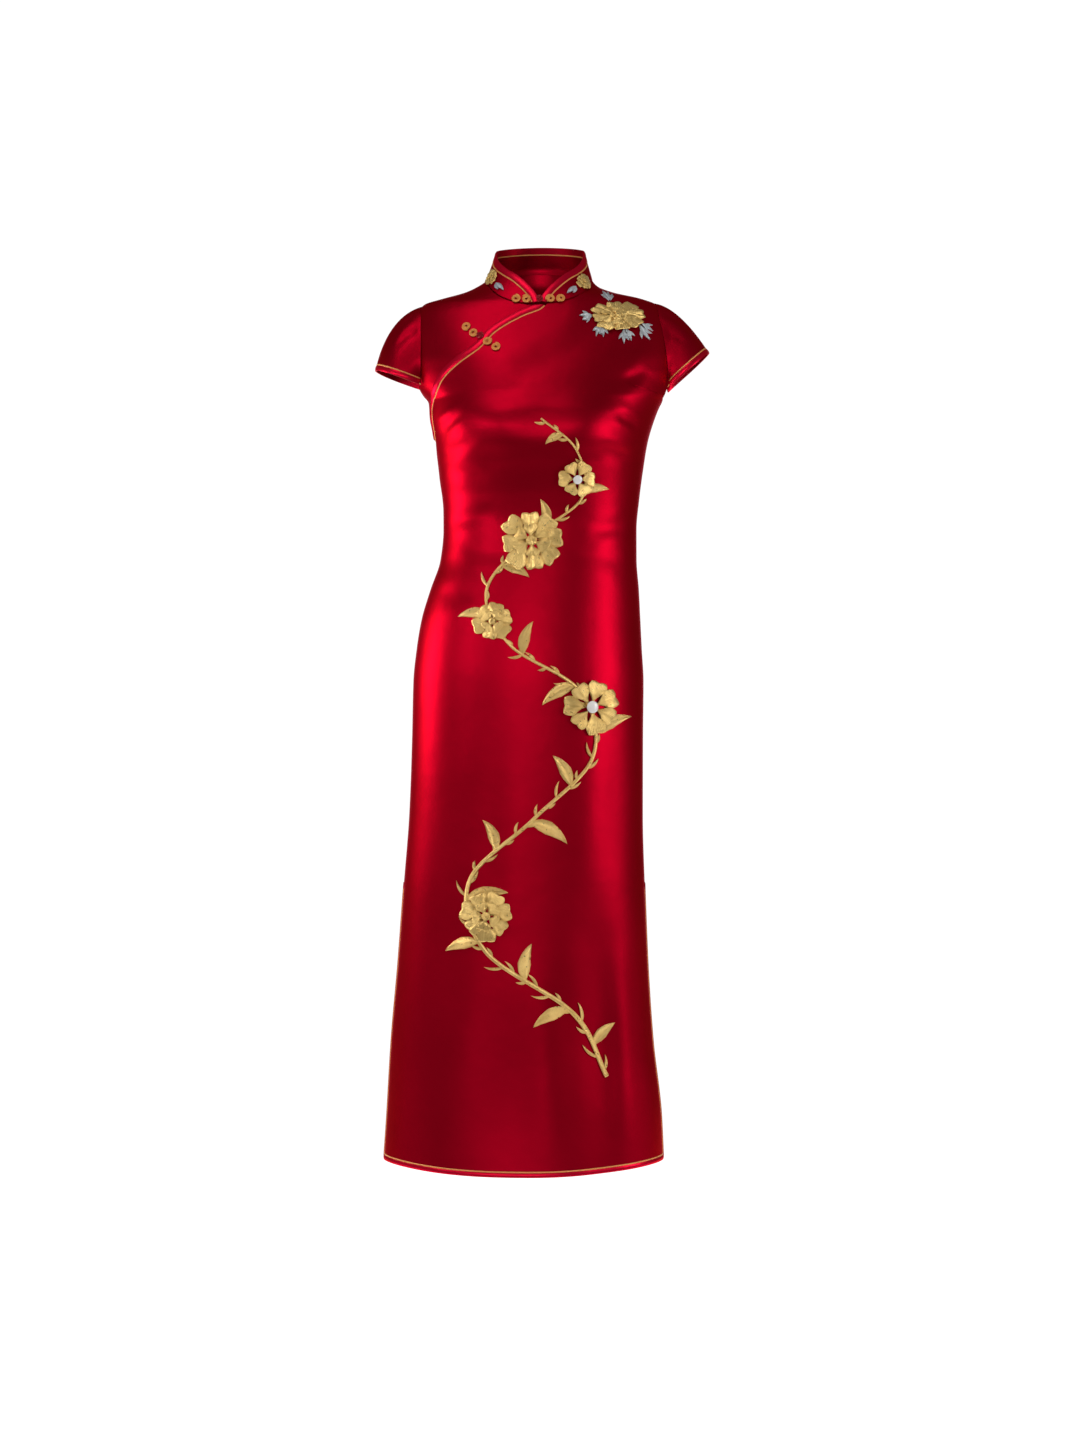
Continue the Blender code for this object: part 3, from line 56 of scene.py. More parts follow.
camera_data = bpy.data.cameras.new("camera")
camera_data.sensor_fit = "VERTICAL"
camera_data.sensor_height = SENSOR
camera_data.lens = SENSOR / 2.0 / math.tan(PICTURE_HEIGHT_ANGLE / 2.0)
camera = bpy.data.objects.new("camera", camera_data)
camera.location = CAMERA_PLACE
camera.rotation_euler = (math.pi / 2.0, 0.0, 0.0)
bpy.context.collection.objects.link(camera)
bpy.context.scene.camera = camera
bpy.context.scene.view_settings.view_transform = "Standard"
print("lens", round(camera_data.lens, 1), "mm")

# %% [markdown]
# The dress hangs over a pale floor, a sheet of paper that ends out of sight below the picture. A paper
# sweep with a wall would hide the dress from behind, so the bright wall is left to the room's light.

# %% Floor
FLOOR_Z = -1.48
FLOOR_HALF_WIDTH = 2.2
FLOOR_NEAR_Y = -0.45
FLOOR_FAR_Y = 2.6
FLOOR_STEPS = 12

floor_x = np.linspace(-FLOOR_HALF_WIDTH, FLOOR_HALF_WIDTH, FLOOR_STEPS)
floor_y = np.linspace(FLOOR_NEAR_Y, FLOOR_FAR_Y, FLOOR_STEPS)
floor_points = [(x, y, FLOOR_Z) for y in floor_y for x in floor_x]
floor_corners = [j * FLOOR_STEPS + i for j in range(FLOOR_STEPS - 1) for i in range(FLOOR_STEPS - 1)]
floor_faces = [(k, k + 1, k + 1 + FLOOR_STEPS, k + FLOOR_STEPS) for k in floor_corners]
floor_mesh = bpy.data.meshes.new("floor")
floor_mesh.from_pydata(floor_points, [], floor_faces)
floor = bpy.data.objects.new("floor", floor_mesh)
bpy.context.collection.objects.link(floor)

# %% [markdown]
# Satin is read by what it reflects. A tall soft box stands low on the wearer's right and draws the light
# down the flank and the belly, a broad wall of light far in front fills the middle, and the other side
# and the room above stay dim, so that the chest and the hem fall off into deep red.

# %% Lights
Lamp = namedtuple("Lamp", "name place target width height power")
LAMPS = [
    Lamp("key_box", (-1.05, -1.20, -0.16), (0.0, 0.0, -0.42), 0.6, 0.30, 4.0),
    Lamp("rim_strip", (-0.95, 0.05, -0.40), (0.0, 0.0, -0.55), 0.4, 0.40, 5.4),
    Lamp("front_wall", (-0.3, -5.4, 0.10), (0.0, 0.0, -0.35), 1.8, 0.6, 44.0),
    Lamp("fill_box", (1.3, -0.7, -0.4), (0.0, 0.0, -0.6), 0.5, 0.8, 8.0),
    Lamp("top_box", (-0.5, -1.2, 1.5), (0.0, 0.0, -0.2), 0.9, 0.9, 9.0),
]
ROOM_DIM = 0.18
ROOM_BRIGHT = 1.05
WALL_EDGE = 0.88
WALL_FULL = 0.965

for lamp in LAMPS:
    data = bpy.data.lights.new(lamp.name, "AREA")
    data.shape = "RECTANGLE"
    data.size, data.size_y = lamp.width, lamp.height
    data.energy = lamp.power
    item = bpy.data.objects.new(lamp.name, data)
    item.location = lamp.place
    item.rotation_euler = (Vector(lamp.target) - Vector(lamp.place)).to_track_quat("-Z", "Y").to_euler()
    bpy.context.collection.objects.link(item)

world = bpy.data.worlds.new("room")
world.use_nodes = True
room = world.node_tree
direction = room.nodes.new("ShaderNodeTexCoord")
parts = room.nodes.new("ShaderNodeSeparateXYZ")
room.links.new(direction.outputs["Generated"], parts.inputs["Vector"])
glow = room.nodes.new("ShaderNodeMapRange")
glow.interpolation_type = "SMOOTHSTEP"
glow.inputs["From Min"].default_value = WALL_EDGE
glow.inputs["From Max"].default_value = WALL_FULL
glow.inputs["To Min"].default_value = ROOM_DIM
glow.inputs["To Max"].default_value = ROOM_BRIGHT
room.links.new(parts.outputs["Y"], glow.inputs["Value"])
room.nodes["Background"].inputs["Color"].default_value = (1.0, 1.0, 1.0, 1.0)
room.links.new(glow.outputs["Result"], room.nodes["Background"].inputs["Strength"])
bpy.context.scene.world = world
print(len(LAMPS), "lamps")

# %% [markdown]
# A finish is a small sum of patterns. Written as nodes it is hard to read, so one class wraps a socket
# and lets ordinary signs add the Math nodes, and one method adds any other node.

# %% Sums of sockets
class Sum:
    """A shader value that can be used in ordinary expressions."""

    def __init__(self, look, socket):
        self.look, self.socket = look, socket

    def math(self, operation, *values):
        return self.look.add("ShaderNodeMath", {"operation": operation}, dict(enumerate(values)))

    def __add__(self, other):
        return self.math("ADD", self, other)

    __radd__ = __add__

    def __mul__(self, other):
        return self.math("MULTIPLY", self, other)

    def sine(self):
        return self.math("SINE", self)

    def clamped(self):
        return self.math("MAXIMUM", self.math("MINIMUM", self, 1.0), 0.0)


class Look:
    """One material and the nodes that make it."""

    def __init__(self, name):
        self.material = bpy.data.materials.new(name)
        self.material.use_nodes = True
        self.tree = self.material.node_tree
        self.shader = self.tree.nodes["Principled BSDF"]

    def add(self, kind, settings=None, values=None, output=0):
        """Adds a node: settings first, then the values or links of its sockets."""
        node = self.tree.nodes.new(kind)
        for key, value in (settings or {}).items():
            setattr(node, key, value)
        for key, value in (values or {}).items():
            self.feed(node.inputs[key], value)
        return Sum(self, node.outputs[output])

    def feed(self, socket, value):
        if isinstance(value, Sum):
            self.tree.links.new(value.socket, socket)
        else:
            socket.default_value = value

    def place(self):
        return self.add("ShaderNodeTexCoord", {}, {}, "Object")

    def grain(self, name):
        """A number kept on the mesh, such as the length along a cord."""
        return self.add("ShaderNodeAttribute", {"attribute_name": name}, {}, "Fac")

    def noise(self, scale, detail=2.0, stretch=(1.0, 1.0, 1.0)):
        spread = self.add("ShaderNodeVectorMath", {"operation": "MULTIPLY"}, {0: self.place(), 1: stretch})
        return self.add("ShaderNodeTexNoise", {}, {"Vector": spread, "Scale": scale, "Detail": detail}, "Fac")

    def blend(self, share, low, high):
        """Mix of two colours."""
        settings = {"data_type": "RGBA", "clamp_factor": True}
        return self.add("ShaderNodeMix", settings, {0: share, 6: (*low, 1.0), 7: (*high, 1.0)}, 2)

    def bump(self, height, depth):
        return self.add("ShaderNodeBump", {}, {"Height": height, "Distance": depth, "Strength": 1.0})

    def set(self, **values):
        for key, value in values.items():
            self.feed(self.shader.inputs[key.replace("_", " ")], value)
        return self.material


# %% [markdown]
# The floor's paper is plain, but no real paper is one flat tone: a broad faint cloud and a fine tooth
# keep it from looking like a hole in the picture. Its own even glow keeps it as white as the wall.

# %% Paper
PAPER_GLOW = 1.0

paper = Look("floor_paper")
paper_tone = paper.noise(0.8)
paper.set(
    Base_Color=paper.blend(paper_tone, (0.93, 0.93, 0.93), (0.97, 0.97, 0.97)),
    Roughness=0.9,
    Normal=paper.bump(paper.noise(300.0), 0.0002),
    Emission_Color=(1.0, 1.0, 1.0, 1.0),
    Emission_Strength=PAPER_GLOW,
)
floor_mesh.materials.append(paper.material)

# %% [markdown]
# The dress as worn is one smooth form. A maker would drape it on a stand; here a table gives the half
# widths and depths at each height, and a curve runs through them. Every piece is then laid on that one
# form, so a seam can't open and a binding can't drift off its edge.

# %% The form of the dress
WALL = 0.0012
SEAM_GAP = 0.0003
PIPING_RADIUS = 0.0008
PIPING_SLOT = 2.0 * (PIPING_RADIUS + SEAM_GAP)
PIPING_FULL = 0.00108
CHEST_Z = -0.238
SLIT_Z = -0.790
SIDE_HEM_Z = -1.155
HEM_DROP = 0.013
SLIT_SPREAD = 0.0020

Level = namedtuple("Level", "z right left front back square")
LEVELS = [
    Level(0.024, 0.0660, 0.0620, 0.044, 0.056, 2.00),
    Level(0.003, 0.0713, 0.0673, 0.046, 0.058, 2.00),
    Level(-0.0065, 0.0845, 0.0765, 0.048, 0.061, 2.00),
    Level(-0.0144, 0.1017, 0.0976, 0.050, 0.065, 2.00),
    Level(-0.0223, 0.1307, 0.1330, 0.053, 0.069, 2.05),
    Level(-0.0300, 0.1545, 0.1530, 0.057, 0.073, 2.10),
    Level(-0.0450, 0.1640, 0.1630, 0.063, 0.080, 2.30),
    Level(-0.0750, 0.1690, 0.1720, 0.077, 0.092, 2.40),
    Level(-0.1000, 0.1685, 0.1745, 0.089, 0.098, 2.40),
    Level(-0.1200, 0.1665, 0.1745, 0.098, 0.101, 2.30),
    Level(-0.1375, 0.1630, 0.1715, 0.106, 0.102, 2.20),
    Level(-0.1500, 0.1545, 0.1660, 0.111, 0.103, 2.30),
    Level(-0.1580, 0.1478, 0.1590, 0.114, 0.103, 2.40),
    Level(-0.1810, 0.1460, 0.1490, 0.120, 0.102, 2.35),
    Level(-0.2120, 0.1373, 0.1399, 0.121, 0.099, 2.30),
    Level(-0.2440, 0.1320, 0.1346, 0.113, 0.094, 2.20),
    Level(-0.2860, 0.1285, 0.1290, 0.099, 0.086, 2.20),
    Level(-0.3260, 0.1281, 0.1254, 0.092, 0.081, 2.20),
    Level(-0.3655, 0.1320, 0.1255, 0.094, 0.083, 2.20),
    Level(-0.4050, 0.1452, 0.1285, 0.098, 0.090, 2.20),
    Level(-0.4450, 0.1571, 0.1305, 0.102, 0.101, 2.20),
    Level(-0.4850, 0.1637, 0.1325, 0.105, 0.112, 2.20),
    Level(-0.5240, 0.1677, 0.1346, 0.106, 0.120, 2.20),
    Level(-0.6000, 0.1695, 0.1335, 0.105, 0.127, 2.20),
    Level(-0.7000, 0.1730, 0.1333, 0.103, 0.122, 2.15),
    Level(-0.8000, 0.1805, 0.1365, 0.101, 0.116, 2.10),
    Level(-0.9000, 0.1880, 0.1405, 0.100, 0.113, 2.10),
    Level(-1.0000, 0.1970, 0.1470, 0.100, 0.113, 2.10),
    Level(-1.1000, 0.2030, 0.1580, 0.101, 0.115, 2.10),
    Level(-1.1800, 0.2085, 0.1620, 0.103, 0.117, 2.10),
]


def smooth_table(keys, values):
    """Returns a curve that passes through the table's points without overshooting them."""
    order = np.argsort(keys)
    x = np.array(keys, float)[order]
    y = np.array(values, float)[order]
    step = np.diff(x)
    slope = np.diff(y) / step
    tangent = np.zeros_like(y)
    tangent[0] = slope[0]
    tangent[-1] = slope[-1]
    for k in range(1, len(x) - 1):
        if slope[k - 1] * slope[k] > 0.0:
            before = 2.0 * step[k] + step[k - 1]
            after = step[k] + 2.0 * step[k - 1]
            tangent[k] = (before + after) / (before / slope[k - 1] + after / slope[k])

    def curve(t):
        t = np.clip(t, x[0], x[-1])
        k = np.clip(np.searchsorted(x, t, side="right") - 1, 0, len(x) - 2)
        s = (t - x[k]) / step[k]
        rise = s * s * (3.0 - 2.0 * s)
        swing = step[k] * s * (1.0 - s)
        return y[k] + (y[k + 1] - y[k]) * rise + swing * ((1.0 - s) * tangent[k] - s * tangent[k + 1])

    return curve


def smooth_step(t):
    t = np.clip(t, 0.0, 1.0)
    return t * t * (3.0 - 2.0 * t)


HEIGHTS = [level.z for level in LEVELS]
SHAPE = {
    field: smooth_table(HEIGHTS, [getattr(level, field) for level in LEVELS])
    for field in ("right", "left", "front", "back", "square")
}

# %% [markdown]
# Satin over a figure never lies dead smooth. The large folds are part of the form: the two rises of the
# bust, a trough that runs down the skirt from the knee, and a hollow at the small of the back. Each is a
# soft swelling along a line, so a row of the table is one fold.

# %% Large folds
Fold = namedtuple("Fold", "face x_top x_low z_top z_low half_width rise")
FOLDS = [
    Fold("front", -0.066, -0.066, -0.150, -0.245, 0.050, 0.009),
    Fold("front", 0.066, 0.066, -0.150, -0.245, 0.050, 0.009),
    Fold("front", 0.074, 0.084, -0.760, -1.250, 0.034, -0.015),
    Fold("front", -0.030, -0.045, -0.900, -1.250, 0.040, -0.005),
    Fold("front", -0.125, -0.140, -0.840, -1.250, 0.034, 0.005),
    Fold("back", -0.085, -0.105, -0.720, -1.250, 0.036, -0.011),
    Fold("back", 0.050, 0.060, -0.780, -1.250, 0.040, -0.009),
    Fold("back", 0.000, 0.000, -0.260, -0.390, 0.045, -0.007),
]


def fold_rise(face, x, z):
    """Height of all folds of one face over the plain shape."""
    total = np.zeros(np.broadcast(x, z).shape)
    for fold in FOLDS:
        if fold.face != face:
            continue
        along = (fold.z_top - z) / (fold.z_top - fold.z_low)
        middle = fold.x_top + (fold.x_low - fold.x_top) * along
        across = np.exp(-(((x - middle) / fold.half_width) ** 2))
        total = total + fold.rise * across * smooth_step(along * 2.0) * smooth_step((1.0 - along) * 2.0)
    return total


def skin(face, angle, z):
    """Point of the worn form: angle runs from -90 degrees at the right side seam to +90 at the left."""
    angle, z = np.broadcast_arrays(np.asarray(angle, float), np.asarray(z, float))
    right, left = SHAPE["right"](z), SHAPE["left"](z)
    power = 2.0 / SHAPE["square"](z)
    sine, cosine = np.sin(angle), np.maximum(np.cos(angle), 0.0)
    x = (left - right) / 2.0 + (left + right) / 2.0 * np.sign(sine) * np.abs(sine) ** power
    depth = SHAPE[face](z) * cosine**power + fold_rise(face, x, z) * cosine
    return np.stack([x, -depth if face == "front" else depth, z], axis=-1)


def seam_angle(face, z, inset):
    """Angle at which the face lies its inset away from the side seam."""
    return np.arccos((inset / SHAPE[face](z)) ** (SHAPE["square"](z) / 2.0))


def inside_seams(face, angle, z):
    """The angle, kept half a seam gap away from both side seams."""
    limit = seam_angle(face, z, SEAM_GAP / 2.0)
    return np.clip(angle, -limit, limit)


def side_share(x, z):
    """Place between the side seams as seen from the front: -1 at the right one, +1 at the left one."""
    right, left = SHAPE["right"](z), SHAPE["left"](z)
    return (x - (left - right) / 2.0) / ((left + right) / 2.0)


def angle_at(face, x, z):
    """Angle of the point that lies at x as seen from the front, kept inside the seams."""
    x, z = np.broadcast_arrays(np.asarray(x, float), np.asarray(z, float))
    share = np.clip(side_share(x, z), -1.0, 1.0)
    angle = np.arcsin(np.sign(share) * np.abs(share) ** (SHAPE["square"](z) / 2.0))
    return inside_seams(face, angle, z)


def settle(face, points):
    """Angle and height of points that lie close to the worn form."""
    x, y, z = points[..., 0], points[..., 1], points[..., 2]
    power = SHAPE["square"](z) / 2.0
    wide = side_share(x, z)
    deep = np.maximum(-y if face == "front" else y, 0.0) / SHAPE[face](z)
    angle = np.sign(wide) * np.arctan2(np.abs(wide) ** power, deep**power)
    return inside_seams(face, angle, z), z


# %% [markdown]
# To raise a piece off the cloth it must move square to it. The two slopes of the form, round it and up
# it, give that direction, and the same slopes let a point walk a set distance over the cloth, which is
# how a binding keeps its width round a curve. Runs of points are measured and smoothed here as well.

# %% Over the cloth
SEAM_MARGIN = 0.03
WALK_LEGS = 6
CURVE_STEPS = 24


def unit(vectors):
    return vectors / np.linalg.norm(vectors, axis=-1, keepdims=True)


def slopes(face, angle, z):
    """How the point moves with the angle and with height, kept off the seams where both faces turn."""
    bend, lift = 0.01, 0.0005
    reach = math.pi / 2 - SEAM_MARGIN
    inner = np.clip(angle, -reach, reach)
    by_angle = (skin(face, inner + bend, z) - skin(face, inner - bend, z)) / (2.0 * bend)
    by_height = (skin(face, inner, z + lift) - skin(face, inner, z - lift)) / (2.0 * lift)
    return by_angle, by_height


def surface(face, angle, z, out=0.0):
    """Point on the worn form, moved out along its normal."""
    angle, z = np.broadcast_arrays(np.asarray(angle, float), np.asarray(z, float))
    by_angle, by_height = slopes(face, angle, z)
    normal = unit(np.cross(by_angle, by_height))
    if face == "back":
        normal = -normal
    return skin(face, angle, z) + np.asarray(out)[..., None] * normal


def steps_for(move, a, h):
    """Steps of the two parameters that make a move, when a and h say how each one moves the point."""
    aa, ah, hh = (a * a).sum(-1), (a * h).sum(-1), (h * h).sum(-1)
    da, dh = (move * a).sum(-1), (move * h).sum(-1)
    det = aa * hh - ah * ah
    return (da * hh - dh * ah) / det, (dh * aa - da * ah) / det


def walk(face, angle, z, direction, distance):
    """Moves points along the cloth, a distance in the given 3-D direction."""
    angle, z = np.array(angle, float), np.array(z, float)
    for _ in range(WALK_LEGS):
        a, h = slopes(face, angle, z)
        turn, climb = steps_for(direction, a, h)
        length = np.linalg.norm(a * turn[..., None] + h * climb[..., None], axis=-1)
        angle = angle + turn / length * distance / WALK_LEGS
        z = z + climb / length * distance / WALK_LEGS
    return inside_seams(face, angle, z), z


def lengths_along(points):
    """Length along a run of points, from its start to each of them."""
    return np.concatenate([[0.0], np.cumsum(np.linalg.norm(np.diff(points, axis=0), axis=1))])


def at_lengths(points, wanted):
    """Points of a run at the wanted lengths along it."""
    length = lengths_along(points)
    return np.stack([np.interp(wanted, length, points[:, c]) for c in range(points.shape[1])], axis=1)


def resample(points, count):
    return at_lengths(points, np.linspace(0.0, lengths_along(points)[-1], count))


def refine(points, steps):
    """More points on a smooth curve through the given ones, the same number between each two."""
    points = np.array(points, float)
    padded = np.vstack([2 * points[0] - points[1], points, 2 * points[-1] - points[-2]])
    s = np.linspace(0.0, 1.0, steps, endpoint=False)[:, None]
    fine = []
    for k in range(1, len(padded) - 2):
        before, start, end, after = padded[k - 1 : k + 3]
        second = before - 2.5 * start + 2.0 * end - 0.5 * after
        third = 1.5 * (start - end) + 0.5 * (after - before)
        fine.append(start + 0.5 * s * (end - before) + s * s * second + s**3 * third)
    return np.vstack(fine + [points[-1:]])


def along_curve(points, count):
    """Points at even steps along a smooth curve through the given ones."""
    return resample(refine(points, CURVE_STEPS), count)


# %% [markdown]
# The small creases tell the viewer that this is cloth: drags that run from the bust and the armholes, a
# few short pulls at the waist where the dress bends, and long soft waves towards the hem. Simulated
# cloth would put them in random places, so each is a row: where it starts and ends, its width and its
# depth. A trough gets a lower ridge on each side, because cloth that dips must rise beside the dip.

# %% Creases
Crease = namedtuple("Crease", "face x_start z_start x_end z_end half_width depth")
CREASES = [
    Crease("front", -0.128, -0.200, -0.098, -0.178, 0.0060, 0.0014),
    Crease("front", -0.122, -0.228, -0.080, -0.214, 0.0075, 0.0011),
    Crease("front", -0.118, -0.252, -0.066, -0.262, 0.0080, 0.0012),
    Crease("front", 0.128, -0.196, 0.094, -0.180, 0.0060, 0.0013),
    Crease("front", 0.118, -0.236, 0.072, -0.226, 0.0080, 0.0010),
    Crease("front", -0.120, -0.318, -0.058, -0.306, 0.0085, 0.0011),
    Crease("front", 0.116, -0.322, 0.060, -0.334, 0.0090, 0.0010),
    Crease("front", -0.110, -0.352, -0.030, -0.362, 0.0110, 0.0009),
    Crease("front", 0.112, -0.368, 0.030, -0.356, 0.0110, 0.0008),
    Crease("front", -0.132, -0.420, -0.080, -0.408, 0.0120, 0.0008),
    Crease("front", 0.140, -0.120, 0.104, -0.140, 0.0070, 0.0012),
    Crease("front", 0.128, -0.085, 0.088, -0.108, 0.0080, 0.0009),
    Crease("front", -0.060, -0.560, -0.074, -0.900, 0.0200, 0.0010),
    Crease("front", 0.100, -0.520, 0.092, -0.800, 0.0180, 0.0012),
    Crease("front", -0.120, -0.700, -0.132, -1.120, 0.0200, 0.0014),
    Crease("front", 0.030, -0.880, 0.040, -1.160, 0.0180, 0.0016),
    Crease("front", 0.122, -0.860, 0.134, -1.150, 0.0140, 0.0018),
    Crease("back", -0.104, -0.300, -0.040, -0.322, 0.0090, 0.0014),
    Crease("back", 0.104, -0.296, 0.038, -0.316, 0.0090, 0.0014),
    Crease("back", -0.100, -0.340, -0.030, -0.346, 0.0100, 0.0012),
    Crease("back", 0.098, -0.350, 0.026, -0.344, 0.0100, 0.0012),
    Crease("back", -0.134, -0.150, -0.086, -0.190, 0.0080, 0.0012),
    Crease("back", 0.140, -0.148, 0.090, -0.186, 0.0080, 0.0012),
    Crease("back", 0.010, -0.560, 0.014, -1.100, 0.0220, 0.0014),
    Crease("back", -0.140, -0.620, -0.150, -1.130, 0.0200, 0.0014),
    Crease("back", 0.110, -0.600, 0.118, -1.120, 0.0200, 0.0014),
    Crease("back", -0.060, -0.070, -0.020, -0.120, 0.0120, 0.0008),
    Crease("back", 0.064, -0.066, 0.022, -0.112, 0.0120, 0.0008),
]
RIDGE_SHARE = 0.45
RIDGE_PLACE = 1.9
RIDGE_WIDTH = 0.8
FADE_IN = 0.35
FADE_OUT = 0.45
FADE_START = 0.15


def crease_rise(face, x, z):
    """Height of the small creases at a place seen from the front."""
    total = np.zeros(np.broadcast(x, z).shape)
    for crease in CREASES:
        if crease.face != face:
            continue
        span = np.array([crease.x_end - crease.x_start, crease.z_end - crease.z_start])
        size = np.linalg.norm(span)
        run = span / size
        along = ((x - crease.x_start) * run[0] + (z - crease.z_start) * run[1]) / size
        across = ((z - crease.z_start) * run[0] - (x - crease.x_start) * run[1]) / crease.half_width
        fade_in = smooth_step(along / FADE_IN + FADE_START)
        fade_out = smooth_step((1.0 - along) / FADE_OUT + FADE_START)
        ridges = RIDGE_SHARE * np.exp(-((np.abs(across) - RIDGE_PLACE) ** 2) / RIDGE_WIDTH)
        total = total - crease.depth * (np.exp(-(across**2)) - ridges) * (fade_in * fade_out)
    return total


print(len(CREASES), "creases")

# %% [markdown]
# Two kinds of mesh make nearly all of the dress: a thin wall between two grids of points, for anything
# cut from cloth, and a cord swept along a line. Both keep numbers on their points, the length along and
# the place across, so that a finish can follow the thread.

# %% Walls and cords
SHARP_ANGLE = math.radians(60)


def add_piece(node, ending, shape, look):
    """Makes the visible piece that stands for one node, from its points, faces and numbers."""
    points, faces, numbers = shape
    name = f"{node}_{ending}"
    mesh = bpy.data.meshes.new(name)
    mesh.from_pydata(np.asarray(points).tolist(), [], faces)
    for key, values in numbers.items():
        values = np.asarray(values, "f").ravel()
        mesh.attributes.new(key, "FLOAT", "POINT").data.foreach_set("value", values)
    mesh.materials.append(look)
    mesh.shade_smooth()
    item = bpy.data.objects.new(name, mesh)
    bpy.context.collection.objects.link(item)
    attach(item, "root")
    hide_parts(node)
    return item


def wall_faces(rows, columns):
    """Faces of a closed wall: its outer grid, its inner grid and the rim between them."""
    offset = rows * columns
    corner = (np.arange(rows - 1)[:, None] * columns + np.arange(columns - 1)[None]).ravel()
    quads = np.stack([corner, corner + 1, corner + columns + 1, corner + columns], axis=1)
    rim = list(range(columns))
    rim += [j * columns + columns - 1 for j in range(1, rows)]
    rim += [(rows - 1) * columns + i for i in range(columns - 2, -1, -1)]
    rim += [j * columns for j in range(rows - 2, 0, -1)]
    rim = np.array(rim)
    following = np.roll(rim, -1)
    edge = np.stack([following, rim, offset + rim, offset + following], axis=1)
    return np.concatenate([quads, quads[:, ::-1] + offset, edge])


def facing_out(points, faces):
    """Turns the faces over when the closed mesh is inside out."""
    a, b, c, d = (points[faces[:, k]] for k in range(4))
    volume = (a * (np.cross(b, c) + np.cross(c, d))).sum()
    return faces if volume > 0.0 else faces[:, ::-1]


def plate(outer, inner, numbers):
    """Points, faces and numbers of a closed wall between two grids."""
    points = np.concatenate([outer.reshape(-1, 3), inner.reshape(-1, 3)])
    faces = facing_out(points, wall_faces(*outer.shape[:2]))
    return points, faces.tolist(), {key: np.tile(np.ravel(value), 2) for key, value in numbers.items()}


def add_wall(node, ending, outer, inner, look, slot, **numbers):
    item = add_piece(node, ending, plate(outer, inner, numbers), look)
    item.data.set_sharp_from_angle(angle=SHARP_ANGLE)
    return item


def cord_mesh(centres, normals, radius, sides):
    """Points, faces and the two numbers of a cord along a line; its ends are closed."""
    centres, normals = np.asarray(centres, float), np.asarray(normals, float)
    run = unit(np.gradient(centres, axis=0))
    across = unit(np.cross(run, normals))
    up = np.cross(across, run)
    turns = 2.0 * math.pi * np.arange(sides) / sides
    radius = np.broadcast_to(radius, (len(centres),))[:, None, None]
    ring = across[:, None] * np.cos(turns)[None, :, None] + up[:, None] * np.sin(turns)[None, :, None]
    points = (centres[:, None] + ring * radius).reshape(-1, 3)
    low = np.arange(len(centres) - 1)[:, None] * sides + np.arange(sides)[None]
    after = np.arange(len(centres) - 1)[:, None] * sides + (np.arange(sides)[None] + 1) % sides
    faces = np.stack([low, after, after + sides, low + sides], axis=-1).reshape(-1, 4)[:, ::-1].tolist()
    faces.append(list(range(sides)))
    faces.append([len(points) - 1 - k for k in range(sides)])
    along = np.repeat(lengths_along(centres), sides)
    return points, faces, {"along": along, "around": np.tile(turns, len(centres))}


def add_cord(node, centres, normals, radius, look, sides=8):
    return add_piece(node, "cord", cord_mesh(centres, normals, radius, sides), look)


# %% [markdown]
# Satin has long threads that float on the face, so it shines like a soft mirror tinted by the dye, and
# the shine is drawn out across the threads. A metal share in the shader tints the reflection, fine
# stretched noise stands for the floats, and a slow noise makes the tone and the gloss uneven.

# %% Satin
SHINE = (1.0, 0.12, 0.22, 1.0)


def satin(name, deep, bright, roughness, metal):
    look = Look(name)
    slow = look.noise(7.0, 3.0)
    floats = look.noise(420.0, 2.0, (6.0, 6.0, 0.35))
    weft = look.noise(420.0, 1.0, (0.5, 0.5, 7.0))
    ripple = look.noise(26.0, 2.0)
    height = floats * 0.6 + weft * 0.4 + ripple * 9.0
    return look.set(
        Base_Color=look.blend(slow * 0.8 + floats * 0.2, deep, bright),
        Roughness=slow * 0.10 + floats * 0.06 + (roughness - 0.08),
        Metallic=metal,
        Normal=look.bump(height, 0.00006),
        Specular_IOR_Level=0.15,
        Specular_Tint=SHINE,
    )


SATIN = satin("satin_cloth", (0.335, 0.0003, 0.0098), (0.415, 0.0005, 0.0145), 0.42, 0.90)
# The bias strip's satin is the dress satin made lighter: its extra lightness is a painted highlight along the
# raised binding.
BIND_SATIN = satin("satin_bias_strip", (0.560, 0.0030, 0.0230), (0.700, 0.0060, 0.0340), 0.36, 0.80)


# %% [markdown]
# Cords on this dress are twisted from fine yarns. The twist is a slanted line round the cord: the sine
# of the length along plus the angle round gives it, and it works on any cord because both numbers are
# kept on the points.

# %% Twisted cord
def twisted(name, dark, light, metal, roughness, pitch):
    look = Look(name)
    strand = (look.grain("along") * (2.0 * math.pi / pitch) + look.grain("around")).sine() * 0.5 + 0.5
    fray = look.noise(900.0, 2.0)
    # The colour follows the same twist as the bump: darker in the grooves as painted shade, lighter on the
    # crowns as painted highlight.
    return look.set(
        Base_Color=look.blend(strand * 0.75 + fray * 0.25, dark, light),
        Roughness=roughness + fray * 0.12,
        Metallic=metal,
        Normal=look.bump(strand + fray * 0.3, 0.00016),
    )


# The first colour of each cord is its painted shade in the grooves, the second its painted highlight on the
# crowns.
PIPING = twisted("gold_piping", (0.66, 0.18, 0.04), (1.00, 0.45, 0.13), 0.25, 0.36, 0.0016)
COIL = twisted("coiled_gold_cord", (0.50, 0.13, 0.02), (1.00, 0.46, 0.11), 0.25, 0.34, 0.0018)
RED_CORD = twisted("red_cord", (0.20, 0.001, 0.006), (0.42, 0.003, 0.012), 0.30, 0.36, 0.0020)

# %% [markdown]
# The slanted opening is what makes this dress a cheongsam: the front flap runs from the neck under the
# arm, with a narrow under front below it. The line is a smooth curve through a few turns seen from the
# front, and the flap stands a little proud of what it covers. A straight cut would be quicker, but the
# swing over the bust is the line that the eye follows.

